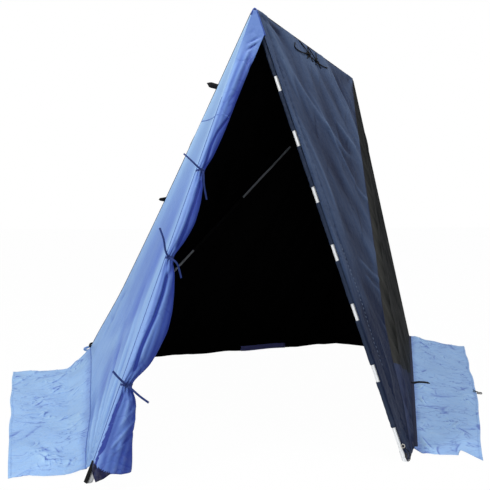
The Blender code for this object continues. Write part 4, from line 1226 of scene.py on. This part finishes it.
def flow(points, step=0.004):
    """A smooth curve through a few points, with a point about every step."""
    points = np.asarray(points, dtype=float)
    padded = np.concatenate([[2 * points[0] - points[1]], points, [2 * points[-1] - points[-2]]])
    curve = []
    for index in range(1, len(padded) - 2):
        before, start, end, after = padded[index - 1:index + 3]
        count = max(int(np.linalg.norm(end - start) / step), 2)
        for part in np.linspace(0.0, 1.0, count, endpoint=False):
            curve.append(0.5 * (2 * start + (end - before) * part
                                + (2 * before - 5 * start + 4 * end - after) * part ** 2
                                + (3 * start - before - 3 * end + after) * part ** 3))
    curve.append(points[-1])
    return np.array(curve)


def headings(path, closed):
    """The direction of a path at each of its points."""
    steps = np.roll(path, -1, axis=0) - np.roll(path, 1, axis=0) if closed else np.gradient(path, axis=0)
    return steps / np.linalg.norm(steps, axis=1)[:, None]


def tape_rings(path, faces, width, thickness, closed=False):
    """Rings of a flat tape that follows a path, with the way its face looks at each point."""
    path = np.asarray(path)
    steps = headings(path, closed)
    faces = np.broadcast_to(np.asarray(faces, dtype=float), path.shape)
    sides = np.cross(steps, faces)
    sides /= np.linalg.norm(sides, axis=1)[:, None]
    ups = np.cross(sides, steps)
    outline = [(-0.5, 0.0), (-0.44, 0.5), (0.0, 0.56), (0.44, 0.5), (0.5, 0.0), (0.44, -0.5), (0.0, -0.56),
               (-0.44, -0.5)]
    rings = [path + sides * width * across + ups * thickness * out for across, out in outline]
    return np.stack(rings, axis=1)


def cord_rings(path, radius, sides=10, closed=False, lay=0.0, rope=0.0):
    """Rings of a round cord, with raised strands that turn round it where rope is above zero."""
    path = np.asarray(path)
    steps = headings(path, closed)
    side = np.cross(steps[0], UP if abs(steps[0][2]) < 0.9 else ACROSS)
    rings = []
    for point, step, distance in zip(path, steps, travelled(path)):
        side = unit(side - step * (side @ step))
        reach = radius * (1.0 + rope * np.cos(3 * circle(sides) + distance * lay))
        rings.append(ring(point, side, np.cross(step, side), reach))
    return np.array(rings)


def knot_path(centre, size, out, turn=0.0):
    """The line of an overhand knot pulled tight, seen from in front."""
    out = unit(out)
    side = unit(np.cross(out, UP))
    up = np.cross(side, out)
    loop = circle(48)
    flat = np.sin(loop + turn) + 2.0 * np.sin(2.0 * loop + turn)
    tall = np.cos(loop + turn) - 2.0 * np.cos(2.0 * loop + turn)
    thick = -np.sin(3.0 * loop)
    return (centre + np.outer(flat, side) * size / 3.0 + np.outer(tall, up) * size / 3.4
            + np.outer(thick, out) * size / 3.2)


def tie_centre(height):
    """The middle of the gathered door at a height."""
    width, depth = (float(np.interp(height, heights[::-1], values[::-1])) for values in (widths, depths))
    return up_edge(LEFT_FOOT, APEX, height) + ACROSS * width / 2.0 + FRONT[0] * depth / 2.0


BAND_POINTS = 56
END_WIDTH = TAPE_WIDTH * 0.9
AIM_FROM = 0.2
RIBBON_ENDS = (
    (1, 0.20, ((-0.020, 0.012, 0.018), (-0.050, 0.040, 0.022), (-0.082, 0.070, 0.014)),
     ((0.006, -0.022, 0.010), (0.008, -0.070, 0.012), (0.020, -0.135, 0.006))),
    (2, 0.30, ((-0.012, 0.030, 0.014), (-0.020, 0.080, 0.020), (-0.036, 0.128, 0.014)),
     ((0.022, -0.012, 0.014), (0.040, -0.034, 0.014), (0.055, -0.092, 0.006))),
    (3, 0.25, ((-0.014, 0.018, 0.012), (-0.034, 0.042, 0.018), (-0.052, 0.064, 0.016)),
     ((0.022, -0.014, 0.014), (0.055, -0.044, 0.020), (0.092, -0.074, 0.020))))
for number, place, upper_end, lower_end in RIBBON_ENDS:
    centre = tie_centre(TIE_HEIGHTS[number - 1])
    turns = circle(BAND_POINTS)
    facings = np.outer(np.cos(turns), ACROSS) + np.outer(np.sin(turns), FRONT[0])
    loop = []
    for away in facings:
        hit = door_surface.ray_cast(Vector(centre + away * AIM_FROM), Vector(-away))[0]
        loop.append((np.array(hit) - centre) @ away if hit else 0.015)
    loop = np.array(loop)
    for _ in range(3):
        loop = np.maximum(loop, (np.roll(loop, 1) + loop + np.roll(loop, -1)) / 3.0)
    band = centre + facings * (loop + 0.0012)[:, None]
    skin(f"door_ribbon_{number}", tape_rings(band, facings, TAPE_WIDTH, TAPE_THICKNESS, closed=True), RIBBON,
         [f"door_tie_{number}"], closed=True)
    spot = int(place * BAND_POINTS)
    knot = band[spot] + facings[spot] * 0.004
    knot_line = knot_path(knot, 0.0085, facings[spot], number)
    skin(f"ribbon_{number}_knot", cord_rings(knot_line, 0.0030, closed=True), RIBBON,
         closed=True)
    for end, route in (("upper", upper_end), ("lower", lower_end)):
        path = flow([knot] + [knot + np.array([x, -out, z]) for x, z, out in route])
        twist = np.linspace(0.0, 0.8, len(path))
        facing = np.stack([0.35 * np.sin(twist * 2.0), -np.ones(len(path)), 0.3 * np.cos(twist)], axis=1)
        tail = skin(f"ribbon_{number}_{end}_end", tape_rings(path, facing, END_WIDTH, TAPE_THICKNESS), RIBBON)

# Ridge tie: a black cord sewn just below the ridge, knotted twice, with short strands that run up to
# the ridge seam and down the wall. It holds the middle of the ridge to its pole.
TIE_CORD = webbing_material("tie_cord_black", (0.007, 0.007, 0.008), ribs=500.0, specular=0.15)
RIDGE_RUN = unit(REAR_APEX - APEX)
RIDGE_LENGTH = np.linalg.norm(REAR_APEX - APEX)
DOWN_WALL = np.cross(RIDGE_RUN, RIGHT[0])
DOWN_WALL = DOWN_WALL if DOWN_WALL[2] < 0.0 else -DOWN_WALL
CORD_RADIUS = 0.003


def ridge_spot(below, share, lift=CORD_RADIUS + 0.0006):
    """A point on the right wall, below the ridge and a share of the way along it."""
    flat = APEX + RIDGE_RUN * RIDGE_LENGTH * share + DOWN_WALL * below
    return right_cloth.touch(flat, lift)[0]


RIDGE_ROUTE = ((0.077, 0.265), (0.112, 0.252), (0.116, 0.301), (0.094, 0.384), (0.099, 0.469), (0.105, 0.523),
               (0.106, 0.576))
route = flow([ridge_spot(below, share) for below, share in RIDGE_ROUTE])
ridge_tie = skin("ridge_tie_cord", cord_rings(route, CORD_RADIUS, 12, rope=0.10, lay=900.0), TIE_CORD,
                 ["ridge_tie"])
for number, (below, share) in enumerate(RIDGE_ROUTE[3:5], start=1):
    centre = ridge_spot(below, share, 0.009)
    skin(f"ridge_knot_{number}", cord_rings(knot_path(centre, 0.018, RIGHT[0], number), 0.0040, closed=True),
         TIE_CORD, closed=True)
    for strand, (lean, drop) in enumerate(((-0.05, -0.072), (0.035, -0.070), (-0.025, 0.035), (0.04, 0.030))):
        path = flow([centre, ridge_spot(below + drop * 0.4, share + lean * 0.3, 0.007),
                     ridge_spot(below + drop, share + lean, 0.0022)])
        skin(f"ridge_strand_{number}_{strand + 1}", cord_rings(path, 0.0028, 8), TIE_CORD)

# Seams and bindings: a piped welt down the left door pole, a bound edge round the gable, a black
# welt along the ridge and down the charcoal strip, a felled joint across the left wall and the
# door, and a navy tape over the hem of the right skirt.
WELT_BLUE = webbing_material("welt_blue", (0.040, 0.085, 0.330), ribs=1200.0, roughness=0.6)
JOINT_BLUE = webbing_material("joint_blue", (0.090, 0.165, 0.470), ribs=1200.0, roughness=0.6)
WELT_NAVY = webbing_material("welt_navy", (0.014, 0.018, 0.045), ribs=1200.0, roughness=0.6)
LAY_STEP = 0.012
WELT_RADIUS = 0.0024
WELT_LIFT = 0.0012
PANEL_JOINT = (1.543, 1.595)
JOINT_TAPE = (0.006, 0.0006)


def outward(*planes):
    return unit(sum(normal for normal, _ in planes))


def lay(surface, line, lift):
    """Points along a line, laid on a cloth, and the way the cloth looks at each of them."""
    shares = np.linspace(0.0, 1.0, max(int(span(line) / LAY_STEP), 3))
    spots, facings = zip(*(surface.touch(point, lift) for point in along(line, shares)))
    return np.array(spots), np.array(facings)


def door_edge(levels):
    """Points up the left door pole's edge, just outside the cloth."""
    return [up_edge(LEFT_FOOT, APEX, height) + outward(LEFT, FRONT) * WELT_LIFT for height in levels]


pole_line = door_edge(np.linspace(1.64, 0.085, 90))
skin("pole_welt", cord_rings(pole_line, WELT_RADIUS, 8), WELT_BLUE)
gable_line = [up_edge(RIGHT_FOOT, APEX, height) + outward(RIGHT, FRONT) * 0.001
              for height in np.linspace(DOOR_TOP + 0.01, 2.080, 14)]
crown = rounded(APEX)
gable_line += [crown + np.array([0.003, 0.0, 0.0]), crown + np.array([-0.004, 0.0, -0.001])]
gable_line += door_edge((2.078, 2.06))
skin("gable_binding", cord_rings(flow(gable_line, 0.006), 0.0036, 10), WELT_BLUE)

ridge_line = right_cloth.edge(right_cloth.down, right_cloth.across) + UP * 0.0008
skin("ridge_welt", cord_rings(ridge_line, 0.0028, 8), WEBBING_BLACK)
strip_seam = right_cloth.edge(1.0 - right_cloth.across, right_cloth.down)[2:-1] + RIGHT[0] * 0.0006
skin("strip_welt", cord_rings(strip_seam, 0.0020, 6), WELT_NAVY)

for name, cloth, planes in (("rear_left_welt", left_cloth, (LEFT, ROOF)),
                            ("roof_back_welt", roof_cloth, (ROOF, BACK_LEFT)),
                            ("back_centre_welt", back_left_cloth, (BACK_LEFT, BACK_RIGHT)),
                            ("rear_right_welt", rear_right_cloth, (RIGHT_REAR, BACK_RIGHT))):
    line = cloth.edge(cloth.across - 1.0, cloth.down)[2:] + outward(*planes) * 0.0008
    skin(name, cord_rings(line, WELT_RADIUS, 6), WEBBING_BLACK)

joint_ends = [up_edge(foot, APEX, height) for foot, height in zip((LEFT_FOOT, REAR_LEFT), PANEL_JOINT)]
joint_line, joint_faces = lay(left_cloth, joint_ends, 0.0007)
skin("wall_joint", tape_rings(joint_line, joint_faces, *JOINT_TAPE), JOINT_BLUE)
door_joint = []
joint_width = float(np.interp(1.530, heights[::-1], widths[::-1]))
for share in np.linspace(0.03, 0.90, 30):
    start = up_edge(LEFT_FOOT, APEX, PANEL_JOINT[0] - 0.012 * share) + ACROSS * joint_width * share
    hit = door_surface.ray_cast(Vector(start + FRONT[0] * AIM_FROM), Vector(-FRONT[0]))[0]
    if hit is not None:
        door_joint.append(np.array(hit) + FRONT[0] * 0.0008)
skin("door_joint", tape_rings(door_joint, FRONT[0], *JOINT_TAPE), JOINT_BLUE)

left_hem_line = left_cloth.foot()[5:] + LEFT[0] * 0.0008
skin("left_hem_welt", cord_rings(left_hem_line, 0.0020, 6), JOINT_BLUE)
hem_out = unit(RIGHT_REAR[0] * np.array([1.0, 1.0, 0.0]))
band_line, band_faces = lay(right_skirt, rear_right_cloth.foot()[1:] + hem_out * 0.008, 0.0012)
skin("right_hem_band", tape_rings(band_line, band_faces, 0.018, 0.0009), WELT_NAVY)

# Back hem: in one place the back is caught up a little, and the sky blue edge of the skirt, turned
# in behind it, shows from inside. It is given a brighter violet blue than the skirt, as painted light
# shining through the thin cloth.
tuck = along(back_left_cloth.foot(), np.linspace(0.0, 1.0, 400))
tuck = tuck[(tuck[:, 0] > -0.10) & (tuck[:, 0] < 0.27)]
tuck = np.stack([tuck[:, 0], tuck[:, 1], np.full(len(tuck), 0.026)], axis=1) - BACK_LEFT[0] * 0.010
# Painted light: a brighter, bluer copy of the skirt's cloth.
CLOTH_TUCK = cloth_material("cloth_tuck", (0.34, 0.36, 0.98), (0.24, 0.26, 0.80), (0.42, 0.48, 1.00), 0.7,
                            0.0, specular=0.1)
skin("tucked_edge", tape_rings(tuck[::6], -BACK_LEFT[0], 0.042, 0.0012), CLOTH_TUCK)

# Straps and fittings: the black webbing that holds the left door pole's end, the strap on the right
# skirt, the tabs at the rear left corner, and the brass eyelet with its cord at the right pole's end.


def nearest(points, spot):
    return points[int(np.linalg.norm(points - spot, axis=1).argmin())]


foot_side = unit(LEFT[0] * np.array([1.0, 1.0, 0.0]))
foot_strap = [up_edge(LEFT_FOOT, APEX, height) + foot_side * out for height, out in
              ((0.084, 0.000), (0.060, 0.001), (0.034, 0.002), (0.004, 0.003))]
skin("foot_strap", tape_rings(flow(foot_strap), foot_side - np.array([0.0, 0.9, 0.0]), 0.022, 0.0016),
     WEBBING_BLACK)
strap_line, strap_faces = lay(right_skirt, [(0.796, -0.346, 0.06), (0.914, -0.323, 0.03)], 0.0022)
skin("skirt_strap", tape_rings(strap_line, strap_faces, 0.028, 0.0020), WEBBING_BLACK)
corner = left_cloth.foot()[-1]
for name, material, slot, width, points in (
        ("corner_tab_blue", CLOTH_SKIRT, "cloth_skirt", 0.016,
         ((0.004, 0.0, 0.004), (-0.030, -0.008, -0.006), (-0.046, -0.010, -0.016), (-0.028, -0.008, -0.026),
          (0.004, -0.004, -0.022))),
        ("corner_tab_black", WEBBING_BLACK, "sleeve_black", 0.014,
         ((0.012, -0.012, 0.026), (-0.004, -0.014, 0.020), (-0.006, -0.014, 0.004),
          (0.004, -0.012, -0.006)))):
    route = flow([corner + np.array(point) for point in points])
    skin(name, tape_rings(route, (0.25, -1.0, 0.2), width, 0.0012), material)
rear_edge = left_cloth.edge(1.0 - left_cloth.across, left_cloth.down)
for node, width, facing, points in (
        ("upper_guy_loop", 0.030, (0.15, -1.0, 0.25),
         ((0.020, 0.004, -0.004), (-0.014, 0.000, 0.002), (-0.040, -0.004, 0.008), (-0.050, 0.002, 0.010),
          (-0.040, 0.008, 0.008), (-0.014, 0.006, 0.002), (0.020, 0.008, -0.004))),
        ("lower_guy_loop", 0.014, (0.1, -1.0, 0.1),
         ((0.012, 0.000, 0.012), (-0.016, -0.002, 0.007), (-0.038, -0.003, 0.002), (-0.016, 0.002, -0.003),
          (0.012, 0.004, -0.010)))):
    sewn = nearest(rear_edge, cad_points(node).mean(axis=0)) - UP * 0.012
    route = flow([sewn + np.array(point) for point in points])
    skin(node + "_webbing", tape_rings(route, facing, width, 0.0020), WEBBING_BLACK, [node])
peg = cad_points("right_peg_loop").mean(axis=0)
sewn = nearest(right_skirt.edge(1.0 - right_skirt.down, right_skirt.across), peg)
route = flow([peg + UP * 0.003, sewn + UP * 0.004, sewn + unit(sewn - peg) * 0.020 + UP * 0.007])
skin("right_peg_tab", tape_rings(route, UP, 0.014, 0.0018), WEBBING_BLACK)

BRASS = alloy_material("eyelet_metal", (0.60, 0.58, 0.52), (0.42, 0.40, 0.36), 0.9, 0.30)
eyelet_spot, eyelet_face = right_cloth.touch(np.array([0.357, -1.215, 0.067]), 0.0012)
eyelet_side = unit(np.cross(eyelet_face, UP))
eyelet_ring = ring(eyelet_spot, eyelet_side, np.cross(eyelet_side, eyelet_face), np.full(28, 0.0075))
skin("foot_eyelet", cord_rings(eyelet_ring, 0.0022, 8, closed=True), BRASS, closed=True)
cord_route = flow([eyelet_spot, eyelet_spot + np.array([0.010, -0.004, -0.010]), (0.382, -1.226, 0.040),
                   (0.380, -1.240, 0.020), (0.366, -1.250, 0.014), (0.356, -1.250, 0.030)], 0.003)
foot_cord = skin("foot_cord", cord_rings(cord_route, 0.0018, 8, rope=0.12, lay=1400.0), TIE_CORD)
bead_line = [cord_route[-1] + UP * step for step in (-0.001, 0.0, 0.006, 0.014, 0.020, 0.021)]
bead_rings = [cord_rings([low, high], radius, 12)[0] for low, high, radius in
              zip(bead_line, bead_line[1:], (0.0016, 0.0045, 0.0055, 0.0055, 0.0040))]
skin("cord_stop", bead_rings, MOULDING)

# Stitches: polyester thread along every seam, one stitch every few millimetres. They are laid on
# the cloth by Geometry Nodes along the lines of the seams. One row of larger pale marks on the
# right sleeve seam is no thread: it paints the highlights on the seam's gathers.


def stitch_group():
    """Geometry Nodes: a short round stitch at every pitch along the lines that it is given."""
    group, given, exit_node = new_group(
        "stitches", "Geometry",
        (("Geometry", "Geometry", None), ("Pitch", "Float", 0.006), ("Stitch Length", "Float", 0.004),
         ("Thread Radius", "Float", 0.0004), ("Thread", "Material", None)),
        (("Geometry", "Geometry"),))
    curve = wired(group, "MeshToCurve", {"Mesh": given["Geometry"]})
    places = new_node(group, "CurveToPoints", {"Curve": curve, "Length": given["Pitch"]},
                      mode="LENGTH").outputs
    stitch = wired(group, "MeshCylinder", {"Vertices": 6, "Radius": given["Thread Radius"],
                                           "Depth": given["Stitch Length"]}, fill_type="NGON")
    put = wired(group, "InstanceOnPoints",
                {"Points": places["Points"], "Instance": stitch, "Rotation": places["Rotation"]})
    real = wired(group, "RealizeInstances", {"Geometry": put})
    painted = wired(group, "SetMaterial", {"Geometry": real, "Material": given["Thread"]})
    feed(group, exit_node, {"Geometry": painted})
    return group


STITCHES = stitch_group()


def sew(name, lines, thread, pitch=0.006, length=0.004, radius=0.0004):
    """Stitches along some laid lines, turned into plain mesh."""
    guide = bpy.data.meshes.new(name + "_guide")
    verts, edges = [], []
    for line in lines:
        edges += [(len(verts) + index, len(verts) + index + 1) for index in range(len(line) - 1)]
        verts += [tuple(point) for point in line]
    guide.from_pydata(verts, edges, [])
    piece = new_object(name, guide)
    nodes = piece.modifiers.new("stitches", "NODES")
    nodes.node_group = STITCHES
    values = {"Pitch": pitch, "Stitch Length": length, "Thread Radius": radius, "Thread": thread}
    for item in STITCHES.interface.items_tree:
        if item.in_out == "INPUT" and item.name in values:
            nodes[item.identifier] = values[item.name]
    sewn = bpy.data.meshes.new_from_object(piece.evaluated_get(bpy.context.evaluated_depsgraph_get()))
    piece.modifiers.remove(nodes)
    piece.data = sewn
    bpy.data.meshes.remove(guide)
    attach(piece, "root")


STITCH_LIFT = 0.0006
HEM_ROWS = (0.010, 0.0135)
THREAD_BLUE = webbing_material("thread_blue", (0.150, 0.260, 0.560), ribs=3000.0)
THREAD_DARK = webbing_material("thread_dark", (0.020, 0.026, 0.050), ribs=3000.0)
PUCKER_HIGHLIGHT_MARKS = webbing_material("painted_pucker_highlight", (0.180, 0.230, 0.320), ribs=3000.0)
behind_pole = [up_edge(LEFT_FOOT, APEX, height) + rearward(left_cloth) * 0.007 for height in (2.03, 0.11)]
blue_rows = [lay(left_cloth, behind_pole, STITCH_LIFT)[0], lay(left_cloth, joint_line, 0.0013)[0]]
for skirt, turn in ((left_skirt, -1.0), (right_skirt, 1.0), (back_skirt, 1.0)):
    outer_edge = skirt.edge(1.0 - skirt.down, skirt.across)[2:-2]
    for margin in HEM_ROWS:
        blue_rows.append(lay(skirt, outer_edge + leftward(outer_edge) * margin * turn, STITCH_LIFT)[0])
sew("stitches_blue", blue_rows, THREAD_BLUE)
dark_rows = [lay(right_cloth, ridge_line + DOWN_WALL * 0.008, STITCH_LIFT)[0],
             lay(right_cloth, strip_seam - rearward(strip_cloth) * 0.006, STITCH_LIFT)[0],
             lay(roof_cloth, ridge_line - np.array([0.010, -0.004, 0.008]), STITCH_LIFT)[0]]
sew("stitches_dark", dark_rows, THREAD_DARK)
sleeve_row = lay(right_cloth, [right_cloth.spot(*spot) for spot in SEAM_LINE], 0.0008)[0]
# Painted highlight: larger pale marks along the gathered middle of the sleeve seam.
highlight_span = (sleeve_row[:, 2] > 0.38) & (sleeve_row[:, 2] < 0.95)
sew("pucker_highlights_painted", [sleeve_row[highlight_span]], PUCKER_HIGHLIGHT_MARKS, pitch=0.021, length=0.009,
    radius=0.0015)
sew("stitches_sleeve", [sleeve_row], THREAD_DARK, pitch=0.007)

# Studio: a white floor that stays bright to the camera, a broad soft light from the upper left and
# a weaker one from the right.
WHITE = (1.0, 1.0, 1.0, 1.0)
floor_shape = bmesh.new()
bmesh.ops.create_grid(floor_shape, x_segments=1, y_segments=1, size=30.0)
floor_mesh = bpy.data.meshes.new("floor")
floor_shape.to_mesh(floor_mesh)
floor_shape.free()
floor = new_object("floor", floor_mesh)
floor_material = bpy.data.materials.new("floor_white")
floor_material.use_nodes = True
coat(floor_material, {"Base Color": (0.80, 0.80, 0.80, 1.0), "Roughness": 0.9, "Specular IOR Level": 0.0})
tree = floor_material.node_tree
painted = tree.nodes["Principled BSDF"].outputs[0]
shown = maths(tree, "MULTIPLY", wired(tree, "LightPath", output="Is Camera Ray"), 0.985)
glow = wired(tree, "Emission", {"Color": WHITE, "Strength": 1.0})
surface = wired(tree, "MixShader", {0: shown, 1: painted, 2: glow})
feed(tree, tree.nodes["Material Output"], {"Surface": surface})
floor_mesh.materials.append(floor_material)

world = bpy.data.worlds.new("studio")
bpy.context.scene.world = world
world.use_nodes = True
tree = world.node_tree
tree.nodes.clear()
shown = wired(tree, "LightPath", output="Is Camera Ray")
cast = wired(tree, "Background", {"Color": (0.95, 0.97, 1.0, 1.0), "Strength": 0.40})
seen = wired(tree, "Background", {"Color": WHITE, "Strength": 1.0})
new_node(tree, "OutputWorld", {"Surface": wired(tree, "MixShader", {0: shown, 1: cast, 2: seen})})


def soft_light(name, location, target, size, power, colour):
    """A round area light that looks at its target."""
    data = bpy.data.lights.new(name, "AREA")
    data.shape = "DISK"
    data.size = size
    data.energy = power
    data.color = colour
    lamp = new_object(name, data)
    lamp.location = location
    lamp.rotation_euler = (Vector(target) - Vector(location)).to_track_quat("-Z", "Y").to_euler()


soft_light("key", (-5.2, -2.6, 4.2), (0.0, 0.0, 0.7), 1.6, 215.0, (1.0, 0.99, 0.97))
soft_light("top", (0.8, -0.8, 5.6), (0.2, -0.2, 0.0), 2.4, 170.0, (1.0, 1.0, 1.0))
soft_light("fill", (3.6, -4.4, 3.0), (0.2, 0.0, 0.8), 2.6, 60.0, (0.95, 0.97, 1.0))
bpy.context.scene.view_settings.view_transform = "Standard"
